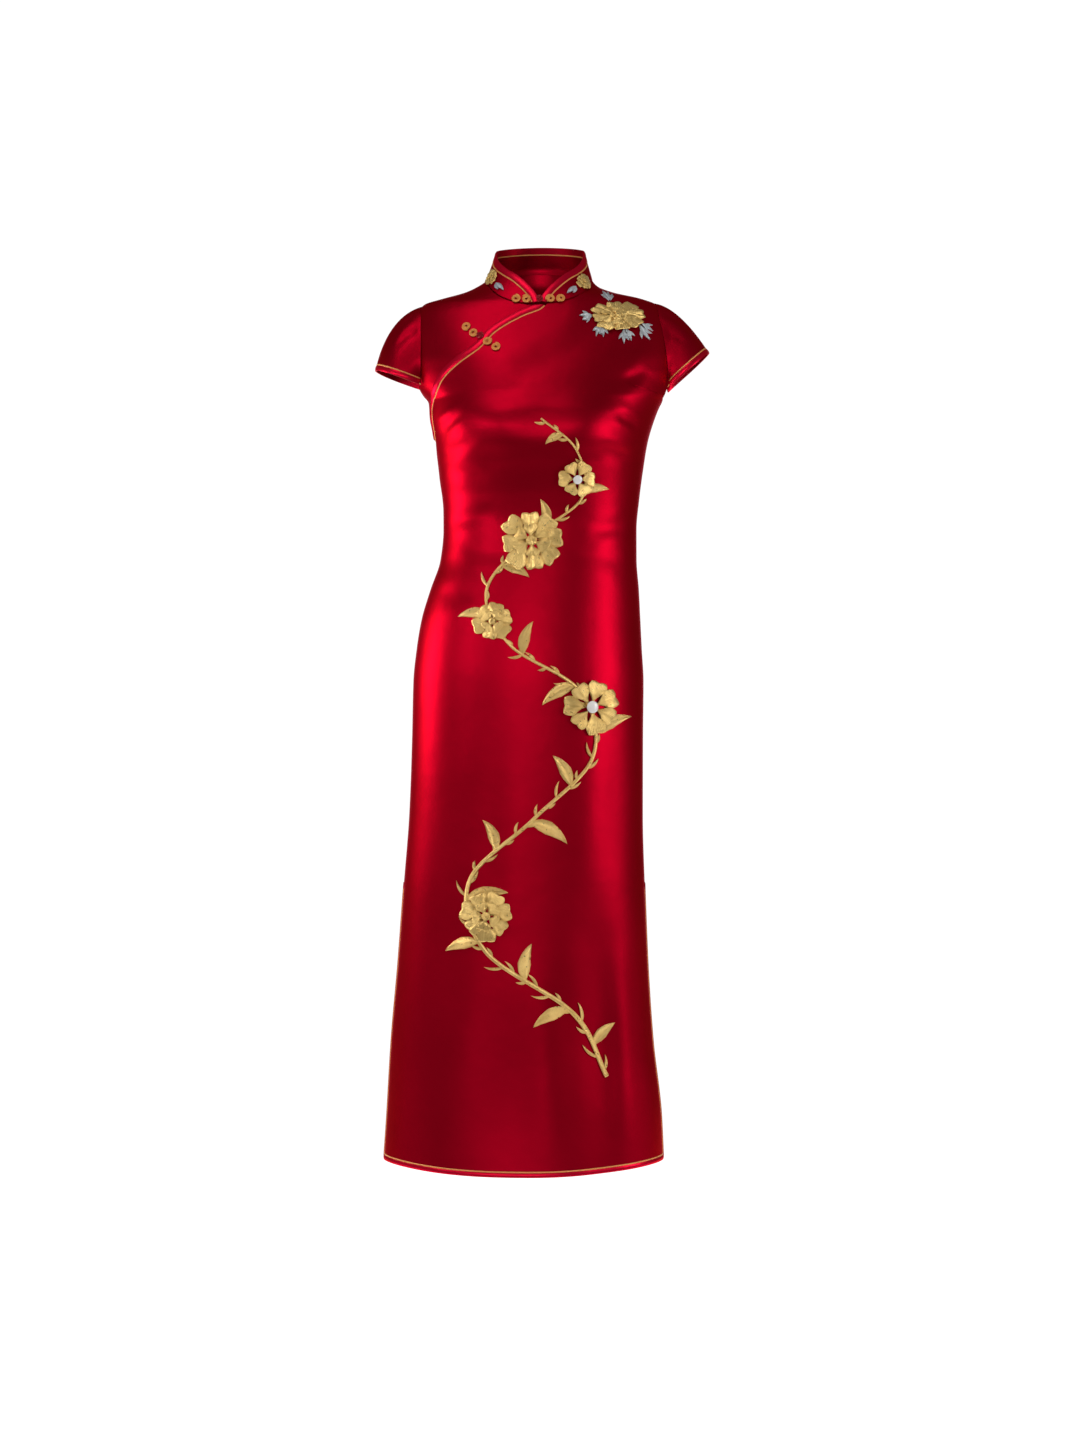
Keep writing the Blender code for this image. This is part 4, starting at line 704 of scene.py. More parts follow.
# %% The opening
Spot = namedtuple("Spot", "x z")
OPENING = [
    Spot(0.0045, -0.0385), Spot(-0.0030, -0.0445), Spot(-0.0260, -0.0540), Spot(-0.0580, -0.0735),
    Spot(-0.0790, -0.0960), Spot(-0.1065, -0.1160), Spot(-0.1270, -0.1372), Spot(-0.1388, -0.1700),
    Spot(-0.1355, -0.2050), Spot(-0.1338, -0.2280),
]
OVERLAP = 0.026
OVERLAP_LIFT = 0.0029
OVERLAP_DIP = 0.0009
LIFT_NEAR = 0.030
LIFT_FAR = 0.075
OPENING_BIND = 0.0085
NECK_X = -0.0020
NECK_HALF = 0.0693
NECK_FRONT_Z = -0.0365
NECK_SIDE_Z = 0.0030
NECK_BACK_Z = 0.0200
NECK_CLEAR = 0.0008
UPPER_STEPS = 90
COARSE_STEPS = 24
TRIM_SHARE = 13.0 / 14.0


def distance_to(line, x, z):
    """Distance seen from the front, from points to a run of short stretches."""
    best = np.full(np.shape(x), np.inf)
    for start, end in zip(line[:-1], line[1:]):
        span = end - start
        share = np.clip(((x - start[0]) * span[0] + (z - start[1]) * span[1]) / (span @ span), 0.0, 1.0)
        best = np.minimum(best, np.hypot(x - start[0] - share * span[0], z - start[1] - share * span[1]))
    return best


COARSE_LINE = along_curve(OPENING, COARSE_STEPS)


def opening_lift(x, z):
    """How far the main front is raised over the under front beneath it."""
    gap = distance_to(COARSE_LINE, x, z)
    return OVERLAP_LIFT * (1.0 - smooth_step((gap - LIFT_NEAR) / (LIFT_FAR - LIFT_NEAR)))


def opening_side(distance):
    """Angles and heights beside the opening's piping, positive towards the under front."""
    line = along_curve(OPENING, UPPER_STEPS)
    angle = angle_at("front", line[:, 0], line[:, 1])
    run = unit(np.gradient(skin("front", angle, line[:, 1]), axis=0))
    outward = unit(np.cross(*slopes("front", angle, line[:, 1])))
    return walk("front", angle, line[:, 1], np.cross(run, outward), distance)


def neck_rise(turn):
    """Share of the way from the front of the neck up to its side, for a turn from 0 to 90 degrees."""
    return (1.0 - np.cos(turn)) ** 1.1


def neck_point(turn):
    """Face, x and z of the neckline, for a turn round the neck from 0 at the front, right side negative."""
    size = abs(turn)
    x = NECK_X + NECK_HALF * math.sin(turn)
    if size <= math.pi / 2:
        return "front", x, NECK_FRONT_Z + (NECK_SIDE_Z - NECK_FRONT_Z) * neck_rise(size)
    return "back", x, NECK_SIDE_Z - (NECK_BACK_Z - NECK_SIDE_Z) * math.cos(size)


def neck_ring(turn):
    """Point of the neckline."""
    turn = turn if turn >= -math.pi else turn + 2.0 * math.pi
    face, x, z = neck_point(turn)
    share = min(1.0, max(-1.0, side_share(x, z)))
    angle = math.copysign(math.asin(abs(share) ** (SHAPE["square"](z) / 2.0)), share)
    return skin(face, angle, z)


def neck_line_z(x):
    """Height of the front neckline at x."""
    turn = np.arcsin(np.clip((x - NECK_X) / NECK_HALF, -1.0, 1.0))
    return NECK_FRONT_Z + (NECK_SIDE_Z - NECK_FRONT_Z) * neck_rise(np.abs(turn))


# %% [markdown]
# Each panel is cut to its seams: the side, the armhole, the shoulder and the neck. The lower part is a
# plain sheet of rows down to the hem. The upper part is a grid stretched between its four edges, which
# is how a cutter thinks of a yoke, and it lets the two parts share one row at the chest.

# %% Edges of the panels
SIGNS = {"right": -1.0, "left": 1.0}
ARMHOLES = {
    "right": [
        Spot(0.1475, -0.1580), Spot(0.1515, -0.1500), Spot(0.1565, -0.1375), Spot(0.1564, -0.1280),
        Spot(0.1560, -0.1060), Spot(0.1562, -0.0840), Spot(0.1568, -0.0630), Spot(0.1573, -0.0470),
        Spot(0.1576, -0.0370), Spot(0.1580, -0.0316),
    ],
    "left": [
        Spot(0.1565, -0.1600), Spot(0.1605, -0.1510), Spot(0.1655, -0.1400), Spot(0.1658, -0.1300),
        Spot(0.1640, -0.1080), Spot(0.1612, -0.0860), Spot(0.1575, -0.0640), Spot(0.1538, -0.0460),
        Spot(0.1516, -0.0340), Spot(0.1510, -0.0276),
    ],
}
NOTCH = 3
SIDE_ROWS = 6
FINER = 6
UNDER_FRONT_Z = -0.250


def edge_points(face, stations):
    return skin(face, angle_at(face, stations[:, 0], stations[:, 1]), stations[:, 1])


def side_stations(side, low=CHEST_Z):
    """Side seam and armhole of one side as x and z, up to the shoulder tip."""
    sign = SIGNS[side]
    armhole = ARMHOLES[side]
    heights = np.linspace(low, armhole[0].z, SIDE_ROWS * FINER + 1)[:-1]
    seam = np.stack([sign * SHAPE[side](heights), heights], axis=1)
    edge = [(sign * station.x, station.z) for station in armhole]
    edge[0] = (sign * SHAPE[side](armhole[0].z), armhole[0].z)
    edge[-1] = (sign * SHAPE[side](armhole[-1].z), armhole[-1].z)
    return np.concatenate([seam, refine(edge, FINER)])


def shoulder_stations(side, count):
    """Shoulder seam of one side as x and z, from the tip in to the neck."""
    sign = SIGNS[side]
    heights = np.linspace(ARMHOLES[side][-1].z, NECK_SIDE_Z, count + 1)
    return np.stack([sign * SHAPE[side](heights), heights], axis=1)


def coons(bottom, top, left, right):
    """Grid of points between four edges; rows run from bottom to top."""
    u = np.linspace(0.0, 1.0, len(bottom))[None, :, None]
    steps = np.linalg.norm(np.diff(left, axis=0), axis=1) + np.linalg.norm(np.diff(right, axis=0), axis=1)
    v = (np.concatenate([[0.0], np.cumsum(steps)]) / steps.sum())[:, None, None]
    across = (1 - u) * left[:, None] + u * right[:, None]
    along = (1 - v) * bottom[None] + v * top[None]
    low = (1 - u) * (1 - v) * bottom[0] + u * (1 - v) * bottom[-1]
    return across + along - (low + (1 - u) * v * top[0] + u * v * top[-1])


def neck_edge(start, end, count):
    return np.array([neck_ring(turn) for turn in np.linspace(start, end, count)])


# %% [markdown]
# The front and the back are the two large sheets of satin. Their rows follow the hang of the cloth, the
# slits leave room for the binding that edges them, and the creases are added square to the form. A fine
# grid is used so that a crease of a few millimetres is round, not folded like paper.

# %% Front and back panels
HEM_BIND = 0.0060
COLUMNS = {"front": 120, "back": 104}
BODY_ROWS = 130
SLIT_ROWS = 84
SLIT_TOP_GAP = 0.001
DIP_REACH = 0.006
DIP_RUN = 0.010


def slit_gap(z):
    """Half of the gap between the front and back edges of a slit."""
    return SEAM_GAP / 2.0 + SLIT_SPREAD * smooth_step((SLIT_Z - z) / (SLIT_Z - SIDE_HEM_Z))


def column_angles(face, z, inset):
    return np.linspace(-1.0, 1.0, COLUMNS[face] + 1) * seam_angle(face, z, inset)


def hem_z(angle):
    """The hem drops a little towards its middle."""
    return SIDE_HEM_Z - HEM_DROP * np.cos(angle) ** 2


def slit_rows():
    """Heights at the side seam of the rows beside a slit, from its top down to the hem piping."""
    inset = HEM_BIND + PIPING_SLOT
    return np.linspace(SLIT_Z - inset, SIDE_HEM_Z + inset, SLIT_ROWS + 1)


def lower_rows(face):
    """Angles and heights of a panel's lower part, from the hem piping up to the chest line."""
    seam = np.linspace(CHEST_Z, SLIT_Z + SLIT_TOP_GAP, BODY_ROWS)
    angle = [column_angles(face, z, SEAM_GAP / 2.0) for z in seam]
    height = [np.full(COLUMNS[face] + 1, z) for z in seam]
    inset = HEM_BIND + PIPING_SLOT
    rows = slit_rows()
    for z in rows:
        turn = column_angles(face, z, inset + slit_gap(z))
        share = (rows[0] - z) / (rows[0] - rows[-1])
        angle.append(turn)
        height.append(rows[0] + (hem_z(turn) + inset - rows[0]) * share)
    return np.array(angle)[::-1], np.array(height)[::-1]


def area_of(grid):
    """Area of a grid of points."""
    first, second = grid[1:, 1:] - grid[:-1, :-1], grid[1:, :-1] - grid[:-1, 1:]
    return float(np.linalg.norm(np.cross(first, second), axis=-1).sum() / 2.0)


def cloth(name, face, angle, z, lift):
    seen = skin(face, angle, z)
    lift = lift + crease_rise(face, seen[..., 0], seen[..., 2])
    outer = surface(face, angle, z, lift + WALL / 2.0)
    inner = surface(face, angle, z, lift - WALL / 2.0)
    area_of(outer)
    add_wall(name, "cloth", outer, inner, SATIN, "satin")


def panel(face, upper):
    """The panel of one face from its hem up; upper is its grid of points from the chest line up."""
    angle, z = lower_rows(face)
    upper_angle, upper_z = settle(face, upper)
    angle = np.concatenate([angle, upper_angle[1:]])
    z = np.concatenate([z, upper_z[1:]])
    lift = 0.0
    if face == "front":
        seen = skin(face, angle, z)
        lift = opening_lift(seen[..., 0], seen[..., 2])
    cloth(face, face, angle, z, lift)


def chest_row(face):
    return skin(face, column_angles(face, CHEST_Z, SEAM_GAP / 2.0), CHEST_Z)


def make_front():
    shoulder = COLUMNS["front"] * 3 // 8
    edge = skin("front", *opening_side(-PIPING_SLOT / 2.0))[::-1]
    last = edge[-1] - edge[-2]
    meet = edge[-1][0] + last[0] / last[2] * (neck_line_z(edge[-1][0]) - edge[-1][2])
    start = math.asin((meet - NECK_X) / NECK_HALF)
    neck = neck_edge(start, math.pi / 2, COLUMNS["front"] - shoulder + 1)
    bottom = chest_row("front")
    edge[-1] = neck[0]
    edge = np.concatenate([bottom[:1], edge])
    right = edge_points("front", side_stations("left"))
    top = np.concatenate([neck, edge_points("front", shoulder_stations("left", shoulder))[::-1][1:]])
    right[0], top[-1] = bottom[-1], right[-1]
    panel("front", coons(bottom, top, edge, right))


def make_back():
    shoulder = COLUMNS["back"] * 3 // 14
    neck = neck_edge(-math.pi / 2, -3 * math.pi / 2, COLUMNS["back"] - 2 * shoulder + 1)
    right_shoulder = edge_points("back", shoulder_stations("right", shoulder))
    left_shoulder = edge_points("back", shoulder_stations("left", shoulder))[::-1]
    top = np.concatenate([right_shoulder[:-1], neck, left_shoulder[1:]])
    left = edge_points("back", side_stations("right"))
    right = edge_points("back", side_stations("left"))
    panel("back", coons(chest_row("back"), top, left, right))


def make_under_front():
    columns, shoulder = 60, 15
    side = edge_points("front", side_stations("right", UNDER_FRONT_Z))
    inner = skin("front", *opening_side(-OVERLAP))[::-1]
    end_turn = math.asin((inner[-1][0] - NECK_X) / NECK_HALF)
    neck = neck_edge(-math.pi / 2, end_turn, columns - shoulder + 1)
    inner[-1] = neck[-1]
    bottom = np.linspace(side[0], inner[0], columns + 1)
    top = np.concatenate([edge_points("front", shoulder_stations("right", shoulder))[:-1], neck])
    angle, z = settle("front", coons(bottom, top, side, resample(inner, len(side))))
    spot = skin("front", angle, z)
    stretch = np.linalg.norm(np.diff(spot, axis=1), axis=2)
    from_inner = np.concatenate([np.cumsum(stretch[:, ::-1], axis=1)[:, ::-1], np.zeros((len(z), 1))], axis=1)
    dip = -OVERLAP_DIP * smooth_step((OVERLAP + OPENING_BIND + DIP_REACH - from_inner) / DIP_RUN)
    cloth("under_front", "front", angle, z, dip)


make_front()
make_back()
make_under_front()

# %% [markdown]
# Every free edge is bound with a bias strip, turned over a soft filling so that it stands up round and
# catches a line of light. A narrow gold cord is caught in its seam. The strip is a wall whose outer face
# is crowned between its two edges, and the cord follows the same run a little further in.

# %% Bindings and pipings
BIND_THICK = 0.0018
BIND_CROWN = 0.0007
BIND_COLUMNS = 7


def strip(name, edge_a, edge_b, normal_a, normal_b):
    """Crowned strip between two runs of points."""
    share = np.linspace(0.0, 1.0, BIND_COLUMNS)[None, :, None]
    middle = edge_a[:, None] * (1.0 - share) + edge_b[:, None] * share
    normal = unit(normal_a[:, None] * (1.0 - share) + normal_b[:, None] * share)
    crown = BIND_CROWN * (1.0 - (2.0 * share - 1.0) ** 2)
    along = np.broadcast_to(lengths_along(edge_a)[:, None], middle.shape[:2])
    across = np.broadcast_to(share[..., 0], middle.shape[:2])
    outer = middle + normal * (BIND_THICK / 2.0 + crown)
    inner = middle - normal * BIND_THICK / 2.0
    # The strip gets the lighter satin, a painted highlight along the rolled edge.
    add_wall(name, "strip", outer, inner, BIND_SATIN, "binding", along=along, across=across)


def on_cloth(face, spots, lift=0.0):
    """Points and outward directions for runs of angles and heights, on the creased cloth."""
    angle, z = spots
    seen = skin(face, angle, z)
    lift = lift + crease_rise(face, seen[..., 0], seen[..., 2])
    points = surface(face, angle, z, lift)
    return points, unit(surface(face, angle, z, lift + 0.001) - points)


def edge_strip(name, face, outer, inner, lift=0.0):
    points_a, normals_a = on_cloth(face, outer, lift)
    points_b, normals_b = on_cloth(face, inner, lift)
    strip(name, points_a, points_b, normals_a, normals_b)


def edge_cord(name, face, spots, lift=0.0):
    centres, normals = on_cloth(face, spots, lift)
    add_cord(name, centres, normals, PIPING_FULL, PIPING)


def hem_run(face, inset, clip):
    """Run down one slit, along the hem and up the other slit, its inset from the edges."""
    rows = slit_rows()
    rows = np.concatenate([[SLIT_Z - clip], rows[1:-1], [SIDE_HEM_Z + inset]])
    right = -seam_angle(face, rows, inset + slit_gap(rows))
    left = seam_angle(face, rows[::-1], inset + slit_gap(rows[::-1]))
    turn = column_angles(face, SIDE_HEM_Z + inset, inset + slit_gap(SIDE_HEM_Z))[1:-1]
    angle = np.concatenate([right, turn, left])
    height = np.concatenate([rows, hem_z(turn) + inset, rows[::-1]])
    corner = len(rows) - 1
    height[corner] = hem_z(right[-1]) + inset
    height[-corner - 1] = hem_z(left[0]) + inset
    return angle, height


for face in ("front", "back"):
    edge_strip(f"{face}_binding", face, hem_run(face, 0.0, SEAM_GAP), hem_run(face, HEM_BIND, HEM_BIND))
    middle = HEM_BIND + PIPING_SLOT / 2.0
    edge_cord(f"{face}_piping", face, hem_run(face, middle, middle + 2.0 * PIPING_RADIUS))

trim_end = round(TRIM_SHARE * (UPPER_STEPS - 1)) + 1
outer_angle, outer_z = opening_side(PIPING_SLOT / 2.0 + OPENING_BIND)
inner_angle, inner_z = opening_side(PIPING_SLOT / 2.0)
limit = neck_line_z(skin("front", outer_angle, outer_z)[:, 0]) - NECK_CLEAR
outer_edge = (outer_angle[:trim_end], np.minimum(outer_z, limit)[:trim_end])
edge_strip("opening_binding", "front", outer_edge, (inner_angle[:trim_end], inner_z[:trim_end]), OVERLAP_LIFT)
cord_angle, cord_z = opening_side(0.0)
edge_cord("opening_piping", "front", (cord_angle[:trim_end], cord_z[:trim_end]), OVERLAP_LIFT)
print("bound the hem, the slits and the opening")

# %% [markdown]
# The cap sleeves stand away from the shoulder and fall to a slanted hem, open under the arm. A pattern
# cutter gets this from the curve of the sleeve head; here each thread line runs from the armhole to the
# hem as a curve that leaves outwards and arrives downwards. A few soft folds start at the sleeve head.

# %% Sleeves
Sleeve = namedtuple("Sleeve", "x_in z_in x_out z_out reach_top fall_top reach_hem fall_hem")
SLEEVES = {
    "right": Sleeve(0.1600, -0.1375, 0.2180, -0.1165, 0.110, 0.030, 0.020, 0.100),
    "left": Sleeve(0.1692, -0.1405, 0.2215, -0.0935, 0.085, 0.012, 0.045, 0.070),
}
HEM_DEPTH_END = 0.040
HEM_DEPTH_BULGE = 0.012
SLEEVE_CLEAR_TIP = 0.0004
SLEEVE_CLEAR_NOTCH = 0.0018
SLEEVE_BIND = 0.0068
SLEEVE_ROWS = 26
SleeveFold = namedtuple("SleeveFold", "around drift half_width depth low")
SLEEVE_FOLDS = {
    "right": [
        SleeveFold(0.24, 0.03, 0.030, 0.0016, 0.75), SleeveFold(0.37, -0.04, 0.035, 0.0013, 0.90),
        SleeveFold(0.62, 0.03, 0.035, 0.0014, 0.85), SleeveFold(0.78, -0.03, 0.032, 0.0013, 0.75),
    ],
    "left": [
        SleeveFold(0.22, 0.05, 0.030, 0.0017, 0.80), SleeveFold(0.35, 0.06, 0.034, 0.0016, 0.90),
        SleeveFold(0.60, -0.04, 0.036, 0.0013, 0.85), SleeveFold(0.76, 0.03, 0.032, 0.0014, 0.75),
    ],
}


def sleeve_base(side):
    """Armhole edge from the front notch over the shoulder tip to the back notch."""
    stations = side_stations(side)[(SIDE_ROWS + NOTCH) * FINER :]
    front = edge_points("front", stations)
    back = edge_points("back", stations)[::-1]
    front[-1] = (front[-1] + back[0]) / 2.0
    return np.concatenate([front, back[1:]])


def sleeve_runs(side):
    """Fine runs of points from the armhole to the hem, one for each station."""
    sleeve = SLEEVES[side]
    sign = SIGNS[side]
    base = sleeve_base(side)
    t = np.linspace(0.0, 1.0, 41)[:, None]
    runs = []
    for k, start in enumerate(base):
        turn = (k / (len(base) - 1) - 0.5) * math.pi
        reach = math.cos(turn)
        depth = HEM_DEPTH_END * math.sin(turn) + HEM_DEPTH_BULGE * math.sin(2.0 * turn)
        clear = SLEEVE_CLEAR_TIP + (SLEEVE_CLEAR_NOTCH - SLEEVE_CLEAR_TIP) * (1.0 - reach)
        start = start + np.array([sign * clear, 0.0, 0.0])
        end_x = sign * (sleeve.x_in + (sleeve.x_out - sleeve.x_in) * reach)
        end = np.array([end_x, depth, sleeve.z_in + (sleeve.z_out - sleeve.z_in) * reach])
        leave = np.array([sign * sleeve.reach_top * reach, 0.0, -sleeve.fall_top * reach])
        arrive = np.array([sign * sleeve.reach_hem * reach, 0.0, -sleeve.fall_hem * reach])
        ends = start * (1 + 2 * t) * (1 - t) ** 2 + end * t * t * (3 - 2 * t)
        runs.append(ends + leave * t * (1 - t) ** 2 + arrive * t * t * (t - 1))
    return np.array(runs)


def make_sleeve(side):
    runs = sleeve_runs(side)
    sign = SIGNS[side]
    lengths = np.linalg.norm(np.diff(runs, axis=1), axis=2).sum(1)
    edge = SLEEVE_BIND + PIPING_SLOT
    shares = np.linspace(0.0, 1.0, SLEEVE_ROWS)
    cloth_grid = np.array([at_lengths(run, shares * (size - edge)) for run, size in zip(runs, lengths)])
    bind_a = np.array([at_lengths(run, [size - SLEEVE_BIND])[0] for run, size in zip(runs, lengths)])
    bind_b = np.array([at_lengths(run, [size])[0] for run, size in zip(runs, lengths)])
    inset = SLEEVE_BIND + PIPING_SLOT / 2.0
    cord = np.array([at_lengths(run, [size - inset])[0] for run, size in zip(runs, lengths)])
    whole = np.concatenate([cloth_grid, cord[:, None], bind_a[:, None], bind_b[:, None]], axis=1)
    normal = unit(np.cross(np.gradient(whole, axis=0), np.gradient(whole, axis=1)))
    normal = normal * np.sign((normal * np.array([sign, 0.0, 0.5])).sum(-1).mean())
    around = np.linspace(0.0, 1.0, len(runs))[:, None]
    fold = np.zeros(cloth_grid.shape[:2])
    for row in SLEEVE_FOLDS[side]:
        across = (around - row.around - row.drift * shares[None]) / row.half_width
        fade = smooth_step(shares / 0.2) * smooth_step((row.low - shares) / 0.4)
        fold = fold - row.depth * np.exp(-(across**2)) * fade[None]
    cloth_normal = normal[:, :SLEEVE_ROWS]
    outer = cloth_grid + cloth_normal * (fold + WALL / 2.0)[..., None]
    inner = cloth_grid + cloth_normal * (fold - WALL / 2.0)[..., None]
    area_of(outer)
    add_wall(f"sleeve_{side}", "cloth", outer, inner, SATIN, "satin")
    strip(f"sleeve_binding_{side}", bind_a, bind_b, normal[:, -2], normal[:, -1])
    add_cord(f"sleeve_piping_{side}", cord, normal[:, SLEEVE_ROWS], PIPING_FULL, PIPING)


for side in ("right", "left"):
    make_sleeve(side)

# %% [markdown]
# The stand collar is a curved band, stiffened inside, whose front ends are rounded down to the neck. It
# leans in towards the top, so it is drawn between two rings: the neckline, raised a little where it sits
# on the flap, and a smaller ring above. A table of both rings is made once and read between its points.

# %% Collar
COLLAR_BIND = 0.0085
COLLAR_LIFT = 0.0020
COLLAR_TOP_X = -0.0008
COLLAR_TOP_HALF = 0.0574
COLLAR_TOP_FRONT = 0.048
COLLAR_TOP_BACK = 0.044
COLLAR_TOP_RISE = 0.0385
COLLAR_BACK_FALL = 0.0060
COLLAR_FRONT_GAP = 0.0004
COLLAR_END = 0.045
COLLAR_END_POWER = 1.6
COLLAR_COUNT = 84
COLLAR_CROWD = 1.5
COLLAR_ROWS = 10
COLLAR_LEGS = 4
COLLAR_LOWEST = 0.0015
FOOT_TUCK = 0.0028
FOOT_TUCK_IN = 0.0029
FOOT_TUCK_ROWS = 3
FOOT_TUCK_FROM = 0.100
FOOT_TUCK_FULL = 0.160
NECK_STEPS = 12
COLLAR_TURNS = np.linspace(0.0, math.pi, 145)


def collar_top(turn):
    """Upper rim of the collar at its full height."""
    face, _, z = neck_point(turn)
    depth = COLLAR_TOP_FRONT if face == "front" else COLLAR_TOP_BACK
    rise = COLLAR_TOP_RISE - COLLAR_BACK_FALL * max(0.0, -math.cos(turn))
    return np.array([COLLAR_TOP_X + COLLAR_TOP_HALF * math.sin(turn), -depth * math.cos(turn), z + rise])


def neck_lift(x, z):
    """How far the collar's foot is raised near the front opening."""
    if x > OPENING[0].x:
        return float(opening_lift(x, z))
    return float(OVERLAP_LIFT * (1.0 - smooth_step((OPENING[0].x - x) / LIFT_NEAR)))


def collar_base(turn):
    """Foot of the collar: it follows the panels' neck edges, and rises over the flap near the front."""
    step = math.pi / 2.0 / NECK_STEPS
    low = math.floor(turn / step) * step
    share = (turn - low) / step
    spots = []
    for spot_turn in (low, low + step):
        spot_turn = min(max(spot_turn, -math.pi), math.pi)
        face, x, z = neck_point(spot_turn)
        point = neck_ring(spot_turn)
        if face == "front":
            angle, height = settle("front", point)
            point = surface("front", angle, height, neck_lift(x, z))
        spots.append(point)
    return spots[0] * (1.0 - share) + spots[1] * share + np.array([0.0, 0.0, COLLAR_LIFT])


RINGS = {}
for sign in (-1.0, 1.0):
    base = np.array([collar_base(sign * turn) for turn in COLLAR_TURNS])
    top = np.array([collar_top(sign * turn) for turn in COLLAR_TURNS])
    RINGS[sign] = (lengths_along(base[:, :2]), base, unit(top - base), np.linalg.norm(top - base, axis=1))
COLLAR_TOTAL = RINGS[1.0][0][-1]


def ring_value(along, part):
    """Value of one of the rings' tables at lengths from the front middle, negative to the right."""
    along = np.asarray(along, float)
    found = []
    for sign in (-1.0, 1.0):
        table = RINGS[sign][part]
        table = table if table.ndim == 2 else table[:, None]
        level = RINGS[sign][0]
        columns = [np.interp(np.abs(along), level, table[:, c]) for c in range(table.shape[1])]
        found.append(np.stack(columns, -1))
    return np.where((along < 0.0)[..., None], found[0], found[1])


def collar_spot(along, height):
    return ring_value(along, 1) + ring_value(along, 2) * np.asarray(height)[..., None]


def collar_slopes(along, height):
    """How the point moves with the length and with the height, kept on one side of the front middle."""
    step = 0.002
    sign = np.where(along < 0.0, -1.0, 1.0)
    inner = sign * np.maximum(np.abs(along), step)
    by_length = collar_spot(inner + step, height) - collar_spot(inner - step, height)
    by_height = collar_spot(inner, height + step) - collar_spot(inner, height - step)
    return by_length / (2.0 * step), by_height / (2.0 * step)


def collar_normal(along, height):
    return unit(np.cross(*collar_slopes(along, height)))


def collar_edge(inset):
    """The collar's edge, moved in over the cloth, as length and height, from the front end to the back."""
    reach = COLLAR_TOTAL - COLLAR_FRONT_GAP
    along = COLLAR_FRONT_GAP + reach * np.linspace(0.0, 1.0, COLLAR_COUNT) ** COLLAR_CROWD
    share = np.minimum(along / COLLAR_END, 1.0)
    rounded = (1.0 - (1.0 - share) ** COLLAR_END_POWER) ** (1.0 / COLLAR_END_POWER)
    height = ring_value(along, 3)[..., 0] * rounded
    run = unit(np.gradient(collar_spot(along, height), axis=0))
    for _ in range(COLLAR_LEGS):
        a, h = collar_slopes(along, height)
        inward = unit(np.cross(run, np.cross(a, h))) * inset / COLLAR_LEGS
        further, higher = steps_for(inward, a, h)
        along, height = along + further, height + higher
    return np.stack([np.clip(along, COLLAR_FRONT_GAP, COLLAR_TOTAL), np.maximum(height, 0.0)], axis=1)


def both_sides(line):
    """Runs a line of lengths and heights from the right front round the back to the left front."""
    right = line.copy()
    right[:, 0] *= -RINGS[-1.0][0][-1] / COLLAR_TOTAL
    return np.concatenate([right, line[::-1][1:]])


top_line = collar_edge(COLLAR_BIND + PIPING_SLOT)
top_line = top_line[top_line[:, 1] > COLLAR_LOWEST]
behind = smooth_step((top_line[:, 0] - FOOT_TUCK_FROM) / (FOOT_TUCK_FULL - FOOT_TUCK_FROM))
low_line = np.stack([top_line[:, 0], -FOOT_TUCK * behind], axis=1)
top_line, low_line = both_sides(top_line), both_sides(low_line)
shares = np.linspace(0.0, 1.0, COLLAR_ROWS)[:, None, None]
collar_grid = low_line[None] * (1.0 - shares) + top_line[None] * shares
spots = collar_spot(collar_grid[..., 0], collar_grid[..., 1])
normals = collar_normal(collar_grid[..., 0], collar_grid[..., 1])
tuck = np.clip(1.0 - np.arange(COLLAR_ROWS) / FOOT_TUCK_ROWS, 0.0, 1.0) ** 2
depth = FOOT_TUCK_IN * tuck[:, None] * (low_line[:, 1] / -FOOT_TUCK)[None]
spots = spots - normals * depth[..., None]
area_of(spots)
half_wall = normals * WALL / 2.0
add_wall("collar", "cloth", spots + half_wall, spots - half_wall, SATIN, "satin")

outer_line, inner_line = both_sides(collar_edge(0.0)), both_sides(collar_edge(COLLAR_BIND))
strip(
    "collar_binding",
    collar_spot(*inner_line.T), collar_spot(*outer_line.T),
    collar_normal(*inner_line.T), collar_normal(*outer_line.T),
)
cord_line = collar_edge(COLLAR_BIND + PIPING_SLOT / 2.0)
cord_line = both_sides(cord_line[cord_line[:, 1] > PIPING_RADIUS])
add_cord("collar_piping", collar_spot(*cord_line.T), collar_normal(*cord_line.T), PIPING_FULL, PIPING)

# %% [markdown]
# Things sewn on the dress lie on its cloth wherever they are. Each place below turns a spot seen from
# the front, and a height over the cloth, into a point, so that a petal or a coil is bent with the cloth.

# %% Where things are laid
def on_under_front(x, z, out):
    """Point over the under front, from its place as seen from the front."""
    return surface("front", angle_at("front", x, z), z, out + crease_rise("front", x, z))


def on_front(x, z, out):
    """Point over the main front, which lies raised over the under front."""
    return on_under_front(x, z, out + opening_lift(x, z))


def on_collar_foot(x, z, out):
    """Point over the front of the collar, from its place as seen from the front."""
    x, z, out = np.broadcast_arrays(*(np.asarray(value, float) for value in (x, z, out)))
    turn = np.arcsin((x - NECK_X) / NECK_HALF)
    right = np.interp(np.abs(turn), COLLAR_TURNS, RINGS[-1.0][0])
    left = np.interp(np.abs(turn), COLLAR_TURNS, RINGS[1.0][0])
    along = np.where(turn < 0.0, -right, left)
    base, rise = ring_value(along, 1), ring_value(along, 2)
    height = (z - base[..., 2]) / rise[..., 2]
    return collar_spot(along, height) + collar_normal(along, height) * out[..., None]


def on_collar(along, level, out):
    """Points over the collar, from level lengths round it and heights over the origin."""
    along, level, out = np.broadcast_arrays(*(np.asarray(value, float) for value in (along, level, out)))
    height = level - ring_value(along, 1)[..., 2]
    return collar_spot(along, height) + collar_normal(along, height) * out[..., None]


